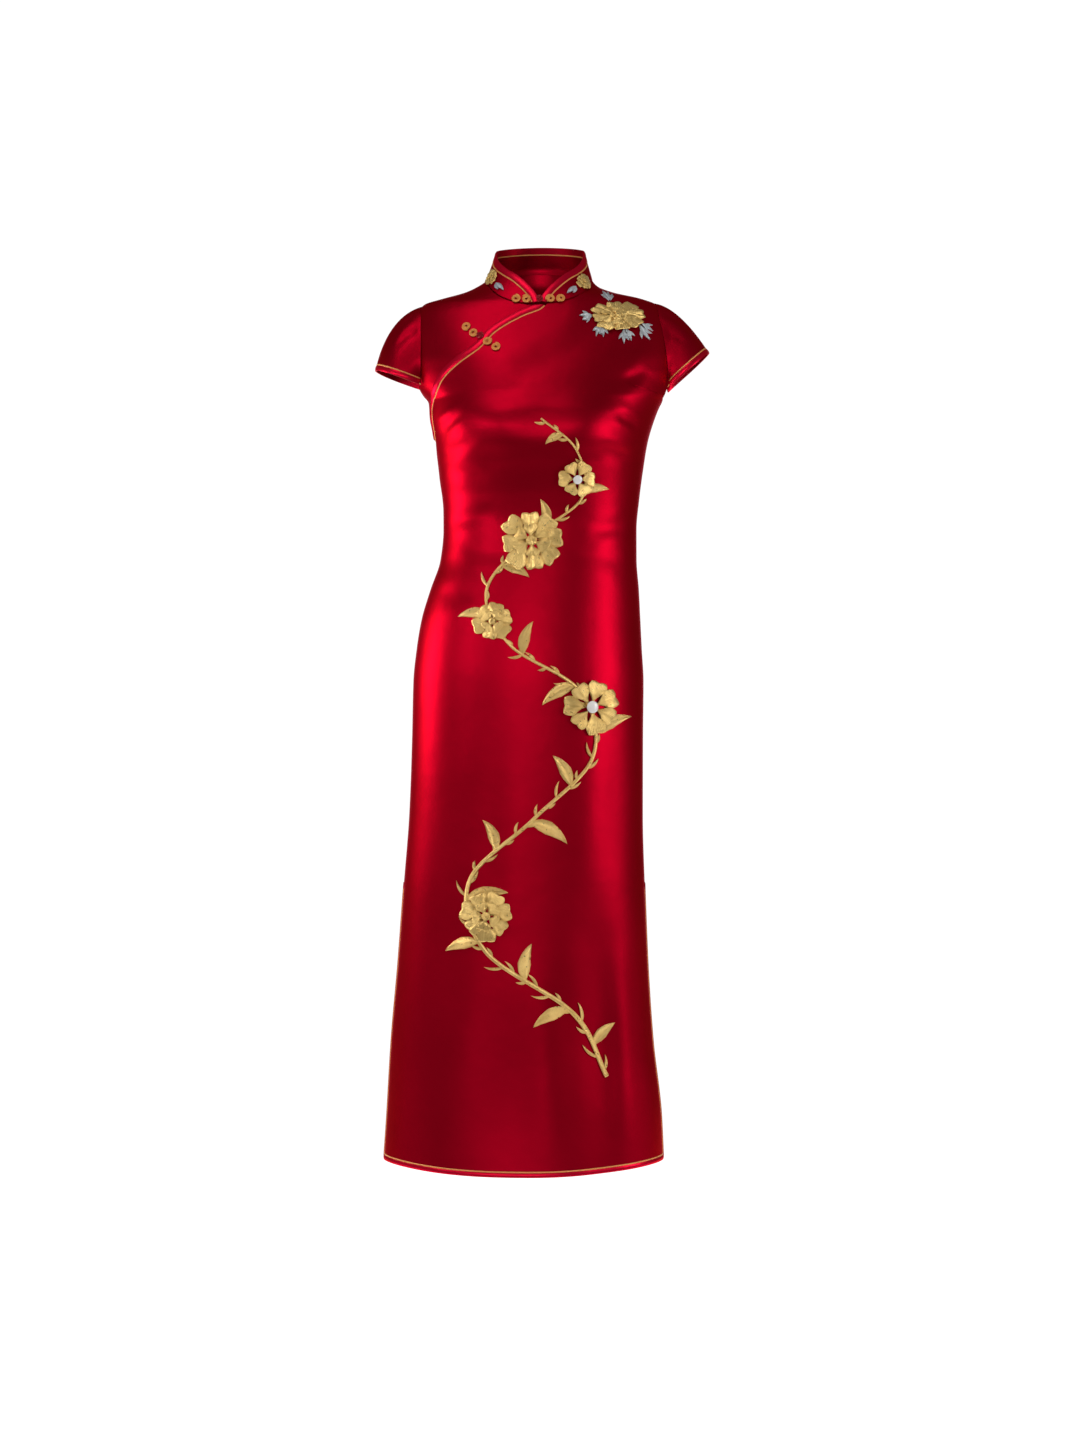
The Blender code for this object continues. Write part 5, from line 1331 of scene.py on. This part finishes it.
PLACES = {"front": on_front, "under": on_under_front, "foot": on_collar_foot, "collar": on_collar}


def frame_at(place, x, z, out):
    """Origin, two directions along the cloth and the outward one over a spot."""
    step = 0.002
    origin = np.ravel(place(x, z, out))
    across = unit(np.ravel(place(x + step, z, out)) - np.ravel(place(x - step, z, out)))
    normal = unit(np.ravel(place(x, z, out + step)) - origin)
    return origin, across, np.cross(normal, across), normal


class Heap:
    """Plates gathered into one piece."""

    def __init__(self):
        self.points, self.faces, self.numbers, self.count = [], [], {}, 0

    def add_plate(self, outer, inner, **numbers):
        points, faces, numbers = plate(outer, inner, numbers)
        self.faces += [[k + self.count for k in face] for face in faces]
        self.count += len(points)
        self.points.append(points)
        for key, values in numbers.items():
            self.numbers.setdefault(key, []).append(values)

    def build(self, node, ending, look):
        numbers = {key: np.concatenate(values) for key, values in self.numbers.items()}
        add_piece(node, ending, (np.concatenate(self.points), self.faces, numbers), look)


# %% [markdown]
# A frog is a cord wound flat into coils, with a knotted button that slips through a loop. The coils are
# spirals of one round cord, their ends tucked to the middle, and the knot is a closed cord that passes
# over and under itself. A disc with a spiral drawn on it would look printed, so the cord is really wound.

# %% Frogs
Coil = namedtuple("Coil", "name place x z out")
COILS = [
    Coil("neck_coil_1", "foot", -0.0333, -0.0280, 0.0013),
    Coil("neck_coil_2", "foot", -0.0197, -0.0287, 0.0013),
    Coil("neck_coil_3", "foot", 0.0122, -0.0287, 0.0013),
    Coil("neck_coil_4", "foot", 0.0259, -0.0284, 0.0013),
    Coil("chest_coil_1", "under", -0.0966, -0.0652, 0.0010),
    Coil("chest_coil_2", "under", -0.0873, -0.0739, 0.0010),
    Coil("chest_coil_3", "front", -0.0690, -0.0874, 0.0014),
    Coil("chest_coil_4", "front", -0.0582, -0.0954, 0.0014),
]
Knot = namedtuple("Knot", "name place x z out heading")
KNOTS = [
    Knot("neck", "foot", -0.0023, -0.0287, 0.0013, 0.0),
    Knot("chest", "front", -0.0786, -0.0793, 0.0012, -40.0),
]
COIL_CORD = 0.00115
COIL_INNER = 0.0019
COIL_OUTER = 0.0055
COIL_TURNS = 2.25
COIL_DRIFT = 0.9
COIL_STEPS = 110
COIL_SINK = 0.0002
FROG_SIDES = 10
KNOT_STEPS = 120
KNOT_SIZE = 0.00115
KNOT_CORD = 0.00095
KNOT_RISE = 0.0024
LOOP_REACH = 0.0044
LOOP_RISE = 0.0014
LOOP_SWEEP = 125.0
LOOP_STEPS = 40

for k, coil in enumerate(COILS):
    origin, across, up, out = frame_at(PLACES[coil.place], coil.x, coil.z, coil.out)
    t = np.linspace(0.0, 1.0, COIL_STEPS)
    turn = 2.0 * math.pi * COIL_TURNS * t + COIL_DRIFT * k
    radius = COIL_INNER + (COIL_OUTER - COIL_INNER) * t
    flat = across * np.cos(turn)[:, None] + up * np.sin(turn)[:, None]
    centres = origin + flat * radius[:, None] + out * (COIL_CORD - COIL_SINK)
    cord = cord_mesh(centres, np.tile(out, (len(t), 1)), COIL_CORD, FROG_SIDES)
    add_piece(coil.name, "spiral", cord, COIL)

for knot in KNOTS:
    origin, across, up, out = frame_at(PLACES[knot.place], knot.x, knot.z, knot.out)
    t = np.linspace(0.0, 2.0 * math.pi, KNOT_STEPS + 1)[:-1]
    a, b, c = np.sin(t) + 2 * np.sin(2 * t), np.cos(t) - 2 * np.cos(2 * t), -np.sin(3 * t)
    lift = origin + out * KNOT_RISE
    centres = lift + (across * a[:, None] + up * b[:, None] + out * c[:, None]) * KNOT_SIZE
    outward = centres - lift + out * 0.001
    add_cord(f"{knot.name}_knot", centres, outward, KNOT_CORD, RED_CORD, FROG_SIDES)
    turns = np.radians(knot.heading + np.linspace(-LOOP_SWEEP, LOOP_SWEEP, LOOP_STEPS))
    lift = origin + out * LOOP_RISE
    centres = lift + (across * np.cos(turns)[:, None] + up * np.sin(turns)[:, None]) * LOOP_REACH
    outward = np.tile(out, (LOOP_STEPS, 1))
    add_cord(f"{knot.name}_loop", centres, outward, PIPING_RADIUS, RED_CORD, FROG_SIDES)
print(len(COILS), "coils and", len(KNOTS), "knots")

# %% [markdown]
# Metallic embroidery is laid in flat bundles of thread over a padding, so every petal is a small cushion
# with furrows that run along it. The gold is painted darker between the bundles and almost white on top,
# a painted shade in the furrows and a painted highlight on the tops, laid over a metal with fine furrows
# and a crinkled surface. The silver of the leaves is made alike.

# %% Metallic threads
def thread(name, dark, light, roughness, furrow):
    look = Look(name)
    bundle = (look.grain("thread") * (2.0 * math.pi)).sine() * 0.5 + 0.5
    crinkle = look.noise(240.0, 3.0)
    patch = look.noise(45.0, 2.0)
    # The colour follows the same furrows and crinkle as the bump: painted shade in the hollows, painted
    # highlight on the tops.
    painted_shade_and_highlight = (bundle * 0.35 + crinkle * 0.35 + patch * 0.55).clamped()
    return look.set(
        Base_Color=look.blend(painted_shade_and_highlight, dark, light),
        Roughness=roughness + crinkle * 0.16,
        Metallic=0.72,
        Normal=look.bump(bundle * 0.5 + crinkle * 1.2 + patch * 1.6, furrow),
    )


# The first colour of each thread is its painted shade in the furrows, the second its painted highlight on the
# tops.
GOLD = thread("gold_thread", (0.56, 0.29, 0.045), (1.00, 0.72, 0.27), 0.22, 0.0006)
SILVER = thread("silver_thread", (0.27, 0.30, 0.32), (0.74, 0.79, 0.82), 0.26, 0.0006)

PLATE = 0.0005
LEVEL_STEP = 0.0016
BASE_RISE = WALL / 2.0 + 0.0009
THREAD_PITCH = 0.0017
SEAT = 0.0003
LEAF_SEAT = 0.0002


# %% [markdown]
# A petal starts narrow at the heart, is widest two thirds out and has a shallow notch in its rim. It is
# domed across, one side tucks under its neighbour, and the rim is ruffled, each petal by its own phase.
# Cut from one flat shape they would look stamped, so the grid of each is bent separately.

# %% Petals and leaves
PETAL_OVERLAP = 1.14
PETAL_VARIATION = 0.07
PETAL_ROWS = 15
PETAL_COLUMNS = 15
RIM_SIDES = [-1.0, -0.80, -0.56, -0.25, 0.0, 0.25, 0.56, 0.80, 1.0]
RIM_REACH = [0.66, 0.85, 0.96, 0.94, 0.89, 0.94, 0.96, 0.85, 0.66]
PETAL_START = 0.15
PETAL_WIDEST = 0.50
PETAL_ROUND = 0.7
PETAL_TWIST = 0.04
FOOT_SHARE = 0.3
RUFFLE_SHARE = 0.22
RUFFLE_WAVES = 2.6
TUCK_SHARE = 0.30
GROOVE_SHARE = 0.25
GROOVE_WIDTH = 0.10


def add_blossom(heap, place, x, z, wide, tall, petals, start, level, dome):
    """Adds a ring of domed petals over a spot."""
    s = np.linspace(0.0, 1.0, PETAL_ROWS)[:, None]
    v = np.linspace(-1.0, 1.0, PETAL_COLUMNS)[None]
    spread = math.pi / petals * PETAL_OVERLAP
    rim = np.interp(v, RIM_SIDES, RIM_REACH)
    for k in range(petals):
        middle = start + 2.0 * math.pi * k / petals
        grow = 1.0 + PETAL_VARIATION * math.sin(2.7 * k + start)
        reach = (PETAL_START + (rim - PETAL_START) * s) * grow
        opening = np.clip((reach - PETAL_START) / PETAL_WIDEST, 0.0, 1.0) ** PETAL_ROUND
        turn = middle + spread * v * opening + PETAL_TWIST * np.sin(3.0 * s + k)
        px = x + wide * reach * np.cos(turn)
        pz = z + tall * reach * np.sin(turn)
        length_rise = np.sin(math.pi * np.clip(s * 0.85 + 0.12, 0, 1)) ** PETAL_ROUND
        swell = dome * np.sqrt(np.clip(1.0 - v**2, 0.0, 1.0)) * length_rise
        ruffle = RUFFLE_SHARE * dome * s**2 * np.sin(RUFFLE_WAVES * math.pi * v + 1.7 * k + start)
        tuck = TUCK_SHARE * dome * v * s
        groove = -GROOVE_SHARE * dome * np.exp(-((v / GROOVE_WIDTH) ** 2)) * (1.0 - s) * s * 4.0
        out = BASE_RISE + level * LEVEL_STEP + FOOT_SHARE * dome + swell + ruffle + tuck + groove
        size = (wide + tall) / 2.0
        lines = v * spread * size * (0.35 + 0.4 * s) / THREAD_PITCH
        outer = place(px, pz, out + PLATE)
        inner = place(px, pz, np.maximum(out - PLATE, BASE_RISE - SEAT))
        heap.add_plate(outer, inner, thread=lines + 0.0 * s)


def add_heart(heap, place, x, z, size, level, rise):
    """Adds the small domed middle of a blossom."""
    r = np.linspace(0.02, 1.0, 9)[:, None]
    a = np.linspace(0.0, 2.0 * math.pi, 25)[None]
    px, pz = x + size * r * np.cos(a), z + size * r * np.sin(a)
    out = BASE_RISE + level * LEVEL_STEP + rise * np.sqrt(1.02 - r**2) + 0.1 * rise * np.sin(5 * a + 6 * r)
    inner = place(px, pz, out * 0.0 + BASE_RISE)
    heap.add_plate(place(px, pz, out + PLATE), inner, thread=a * 1.6 + r * 1.5)


LEAF_SHARES = [0.0, 0.10, 0.25, 0.45, 0.70, 0.88, 1.0]
LEAF_GIRTH = [0.16, 0.50, 0.86, 1.00, 0.68, 0.32, 0.03]
LEAF_GROOVE = 0.55
LEAF_GROOVE_WIDTH = 0.20
LEAF_GROOVE_START = 5.0


def add_leaf(heap, place, x, z, heading, length, width, bend, rise, rows=17, columns=9):
    """Adds a pointed leaf that starts at x and z; angles in degrees."""
    s = np.linspace(0.0, 1.0, rows)
    turn = np.radians(heading + bend * s)
    stride = length / (rows - 1)
    mid = np.stack([np.cos(turn), np.sin(turn)], axis=1) * stride
    line = np.concatenate([[[0.0, 0.0]], np.cumsum(mid[:-1], axis=0)]) + np.array([x, z])
    side = np.stack([-np.sin(turn), np.cos(turn)], axis=1)
    v = np.linspace(-1.0, 1.0, columns)
    half = np.interp(s, LEAF_SHARES, LEAF_GIRTH) * width / 2.0
    spot = line[:, None] + side[:, None] * (half[:, None] * v[None])[..., None]
    swell = rise * np.sqrt(np.clip(1.0 - v**2, 0.0, 1.0))[None] * np.sqrt(half / half.max())[:, None]
    furrow = -LEAF_GROOVE * rise * np.exp(-((v / LEAF_GROOVE_WIDTH) ** 2))
    groove = furrow[None] * smooth_step(s * LEAF_GROOVE_START)[:, None]
    out = BASE_RISE + SEAT + swell + groove
    outer = place(spot[..., 0], spot[..., 1], out + PLATE)
    inner = place(spot[..., 0], spot[..., 1], np.full(out.shape, BASE_RISE - LEAF_SEAT))
    lines = (s[:, None] * length + np.abs(v)[None] * half[:, None] * 1.4) / THREAD_PITCH
    heap.add_plate(outer, inner, thread=lines)


# %% [markdown]
# The peony on the wearer's left shoulder has three rings of petals, wider than it is tall, with silver
# leaves in sprays round it. Smaller gold flowers with silver leaves sit on both sides of the collar.

# %% Shoulder peony and collar flowers
Leaf = namedtuple("Leaf", "x z heading length width bend")
Bloom = namedtuple("Bloom", "x z wide tall")
Ring = namedtuple("Ring", "share petals start")
SHOULDER_FLOWER = Bloom(0.0990, -0.0520, 0.0370, 0.0210)
SHOULDER_RINGS = [Ring(1.0, 8, 0.2), Ring(0.66, 6, 0.5), Ring(0.34, 4, 0.1)]
SHOULDER_LEAVES = [
    [Leaf(0.088, -0.030, 112.0, 0.016, 0.0070, 20.0), Leaf(0.090, -0.030, 85.0, 0.010, 0.0060, -30.0)],
    [Leaf(0.066, -0.051, 178.0, 0.017, 0.0070, 15.0), Leaf(0.066, -0.052, 215.0, 0.014, 0.0060, -20.0)],
    [Leaf(0.078, -0.062, 240.0, 0.019, 0.0080, 20.0), Leaf(0.079, -0.063, 282.0, 0.018, 0.0070, -15.0)],
    [Leaf(0.108, -0.068, 262.0, 0.021, 0.0080, 15.0), Leaf(0.110, -0.068, 302.0, 0.018, 0.0070, -20.0)],
    [Leaf(0.128, -0.062, 296.0, 0.024, 0.0085, 18.0), Leaf(0.130, -0.060, 334.0, 0.018, 0.0070, -15.0)],
]
SPRAY_SPLITS = [(0.0, 1.0, 0.0), (0.25, 0.62, 34.0), (0.25, 0.58, -34.0)]
PEONY_DOME = 0.0022


def add_spray(heap, place, row, rise):
    """Adds a leaf with two side lobes, as cut silver leaves have."""
    for share, size, lean in SPRAY_SPLITS:
        turn = math.radians(row.heading)
        x = row.x + math.cos(turn) * row.length * share
        z = row.z + math.sin(turn) * row.length * share
        width = row.width * (0.75 if lean == 0.0 else 0.55)
        add_leaf(heap, place, x, z, row.heading + lean, row.length * size, width, row.bend, rise, 13, 9)


for k, cluster in enumerate(SHOULDER_LEAVES):
    heap = Heap()
    for row in cluster:
        add_spray(heap, on_front, row, 0.0009)
    heap.build(f"shoulder_leaf_{k + 1}", "spray", SILVER)

x, z, wide, tall = SHOULDER_FLOWER
for k, ring in enumerate(SHOULDER_RINGS):
    heap = Heap()
    dome = PEONY_DOME * (1.0 - 0.2 * k)
    size = (wide * ring.share, tall * ring.share)
    add_blossom(heap, on_front, x, z, *size, ring.petals, ring.start, k + 1, dome)
    if k == len(SHOULDER_RINGS) - 1:
        add_heart(heap, on_front, x, z, 0.0042, k + 2, 0.0014)
    heap.build(f"shoulder_flower_{k + 1}", "petals", GOLD)

CollarFlower = namedtuple("CollarFlower", "side along level size leaves")
COLLAR_FLOWERS = [
    CollarFlower("right", -0.0790, 0.0050, 0.0135, [
        Leaf(-0.0640, -0.0040, -28.0, 0.018, 0.0065, -20.0),
        Leaf(-0.0640, -0.0055, -62.0, 0.011, 0.0055, 15.0),
    ]),
    CollarFlower("left", 0.0660, -0.0020, 0.0135, [
        Leaf(0.0510, -0.0095, 208.0, 0.018, 0.0065, 20.0),
        Leaf(0.0510, -0.0110, 242.0, 0.011, 0.0055, -15.0),
    ]),
]
for flower in COLLAR_FLOWERS:
    heap = Heap()
    for row in flower.leaves:
        add_leaf(heap, on_collar, *row, 0.0008)
    heap.build(f"collar_leaf_{flower.side}", "spray", SILVER)
    heap = Heap()
    size = flower.size
    add_blossom(heap, on_collar, flower.along, flower.level, size, size, 6, 0.4, 0, 0.0013)
    add_blossom(heap, on_collar, flower.along, flower.level, size * 0.6, size * 0.6, 5, 0.9, 0.8, 0.0010)
    add_heart(heap, on_collar, flower.along, flower.level, 0.0028, 1.5, 0.0010)
    heap.build(f"collar_flower_{flower.side}", "petals", GOLD)
print("peony, collar flowers and leaves")

# %% [markdown]
# The large ornament is a flowering vine that climbs the front in slow bends, with paired leaves and five
# blooms. Its stem is a padded band of slanted stitches that narrows on its way up. Small barbs and
# tendrils between the leaves give it the lively edge that close metallic embroidery has.

# %% Vine
VINE = [
    Spot(0.085, -1.040), Spot(0.040, -0.955), Spot(-0.072, -0.875), Spot(-0.092, -0.785),
    Spot(-0.010, -0.705), Spot(0.066, -0.625), Spot(0.050, -0.540), Spot(-0.040, -0.480),
    Spot(-0.070, -0.410), Spot(-0.018, -0.345), Spot(0.052, -0.290), Spot(0.046, -0.230),
    Spot(0.000, -0.190),
]
VINE_WIDTH_LOW = 0.0060
VINE_WIDTH_TOP = 0.0028
VINE_ROWS = 420
VINE_RISE = 0.0015
STEM_PITCH = 0.0024
Sprig = namedtuple("Sprig", "share lean length width bend")
VINE_LEAVES = [
    Sprig(0.04, -55.0, 0.040, 0.015, -30.0), Sprig(0.09, 50.0, 0.052, 0.017, 40.0),
    Sprig(0.15, -48.0, 0.050, 0.017, -45.0), Sprig(0.22, 55.0, 0.046, 0.016, 40.0),
    Sprig(0.27, -60.0, 0.056, 0.018, -40.0), Sprig(0.34, 50.0, 0.044, 0.015, 50.0),
    Sprig(0.39, -52.0, 0.056, 0.018, -45.0), Sprig(0.45, 58.0, 0.046, 0.016, 40.0),
    Sprig(0.52, -50.0, 0.052, 0.017, -40.0), Sprig(0.58, 52.0, 0.050, 0.016, 45.0),
    Sprig(0.65, -56.0, 0.046, 0.015, -40.0), Sprig(0.71, 50.0, 0.042, 0.014, 45.0),
    Sprig(0.77, -50.0, 0.040, 0.014, -45.0), Sprig(0.84, 52.0, 0.036, 0.013, 40.0),
    Sprig(0.90, -52.0, 0.032, 0.012, -40.0), Sprig(0.97, 40.0, 0.026, 0.010, 50.0),
]
TENDRILS = 64
TENDRIL_LENGTH = 0.020
TENDRIL_WIDTH = 0.0042

line = along_curve(VINE, VINE_ROWS)
run = unit(np.gradient(line, axis=0))
heap = Heap()
v = np.linspace(-1.0, 1.0, 9)
half = np.linspace(VINE_WIDTH_LOW, VINE_WIDTH_TOP, VINE_ROWS) / 2.0
side = np.stack([-run[:, 1], run[:, 0]], axis=1)
spot = line[:, None] + side[:, None] * (half[:, None] * v[None])[..., None]
swell = VINE_RISE * np.sqrt(np.clip(1.0 - v**2, 0.0, 1.0))[None]
out = BASE_RISE + SEAT + swell * np.ones((VINE_ROWS, 1))
length = np.linspace(0.0, lengths_along(line)[-1], VINE_ROWS)
heap.add_plate(
    on_front(spot[..., 0], spot[..., 1], out + PLATE),
    on_front(spot[..., 0], spot[..., 1], np.full(out.shape, BASE_RISE - SEAT)),
    thread=(length[:, None] + half[:, None] * v[None] * 0.9) / STEM_PITCH,
)
for sprig in VINE_LEAVES:
    k = round(sprig.share * (VINE_ROWS - 1))
    heading = math.degrees(math.atan2(run[k][1], run[k][0])) + sprig.lean
    add_leaf(heap, on_front, *line[k], heading, sprig.length, sprig.width, sprig.bend, 0.0013, 21, 11)
for k in range(TENDRILS):
    spot_index = round((k + 0.5) / TENDRILS * (VINE_ROWS - 1))
    hand = 1.0 if k % 2 else -1.0
    lean = hand * (48.0 + 14.0 * math.sin(3.1 * k))
    heading = math.degrees(math.atan2(run[spot_index][1], run[spot_index][0])) + lean
    size = TENDRIL_LENGTH * (1.0 + 0.30 * math.sin(1.9 * k)) * (1.1 - 0.4 * k / TENDRILS)
    add_leaf(heap, on_front, *line[spot_index], heading, size, TENDRIL_WIDTH, -hand * 45.0, 0.0009, 11, 5)
heap.build("ornament_vine", "stitch", GOLD)

# %% [markdown]
# The blooms on the vine are smaller flowers of the same make. Two carry a pearl at the heart, a glossy
# bead held by its stitch, and three have an inner ring of petals.

# %% Blooms and pearls
VineBloom = namedtuple("VineBloom", "x z size petals start pearl")
BLOOMS = [
    VineBloom(-0.012, -0.345, 0.042, 8, 0.1, 0.0),
    VineBloom(0.064, -0.560, 0.036, 7, 0.4, 0.008),
    VineBloom(-0.070, -0.830, 0.034, 7, 0.2, 0.0),
    VineBloom(-0.062, -0.450, 0.026, 6, 0.3, 0.0),
    VineBloom(0.046, -0.265, 0.024, 6, 0.0, 0.006),
]
BLOOM_INNER = 0.58
BLOOM_DOME = 0.0018
BLOOM_DOME_SIZE = 0.034
PEARL_HEIGHT = 0.62

pearl = Look("pearl_gloss")
pearl_tone = pearl.noise(160.0, 2.0)
PEARL = pearl.set(
    Base_Color=pearl.blend(pearl_tone, (0.74, 0.68, 0.64), (0.90, 0.88, 0.86)),
    Roughness=pearl_tone * 0.10 + 0.10,
    Normal=pearl.bump(pearl_tone, 0.00004),
    Coat_Weight=0.6,
    Coat_Roughness=0.08,
)

for k, bloom in enumerate(BLOOMS):
    heap = Heap()
    dome = BLOOM_DOME * (bloom.size / BLOOM_DOME_SIZE)
    add_blossom(heap, on_front, bloom.x, bloom.z, bloom.size, bloom.size, bloom.petals, bloom.start, 1, dome)
    heap.build(f"ornament_bloom_{k + 1}", "petals", GOLD)
    if bloom.pearl:
        origin, across, up, outward = frame_at(on_front, bloom.x, bloom.z, BASE_RISE + 2 * LEVEL_STEP)
        a = np.linspace(0.0, 2.0 * math.pi, 33)[None, :, None]
        b = np.linspace(0.02, math.pi - 0.02, 20)[:, None, None]
        ball = (across * np.cos(a) + up * np.sin(a)) * np.sin(b) - outward * np.cos(b) * PEARL_HEIGHT / 2.0
        outer = origin + outward * bloom.pearl * PEARL_HEIGHT / 2.0 + ball * bloom.pearl
        inner = origin + (outer - origin) * 0.6 + outward * 0.0004
        add_piece(f"ornament_pearl_{k + 1}", "bead", plate(outer, inner, {}), PEARL)
    else:
        heap = Heap()
        size = bloom.size * BLOOM_INNER
        petals, start = bloom.petals - 2, bloom.start + 0.5
        add_blossom(heap, on_front, bloom.x, bloom.z, size, size, petals, start, 2, dome * 0.8)
        add_heart(heap, on_front, bloom.x, bloom.z, bloom.size * 0.16, 3, 0.0012)
        heap.build(f"ornament_inner_{k + 1}", "petals", GOLD)
print(len(BLOOMS), "blooms")

# %% [markdown]
# Last, a record type for a sheet of cloth: its node, the width and length it was cut to, how it is held
# and the trims sewn on it. The cut of a fitted panel is nearly its own area, because darts and seams give
# the form, not stretch.

# %% Record of a cut sheet
Cut = namedtuple("Cut", "node width length held trims")
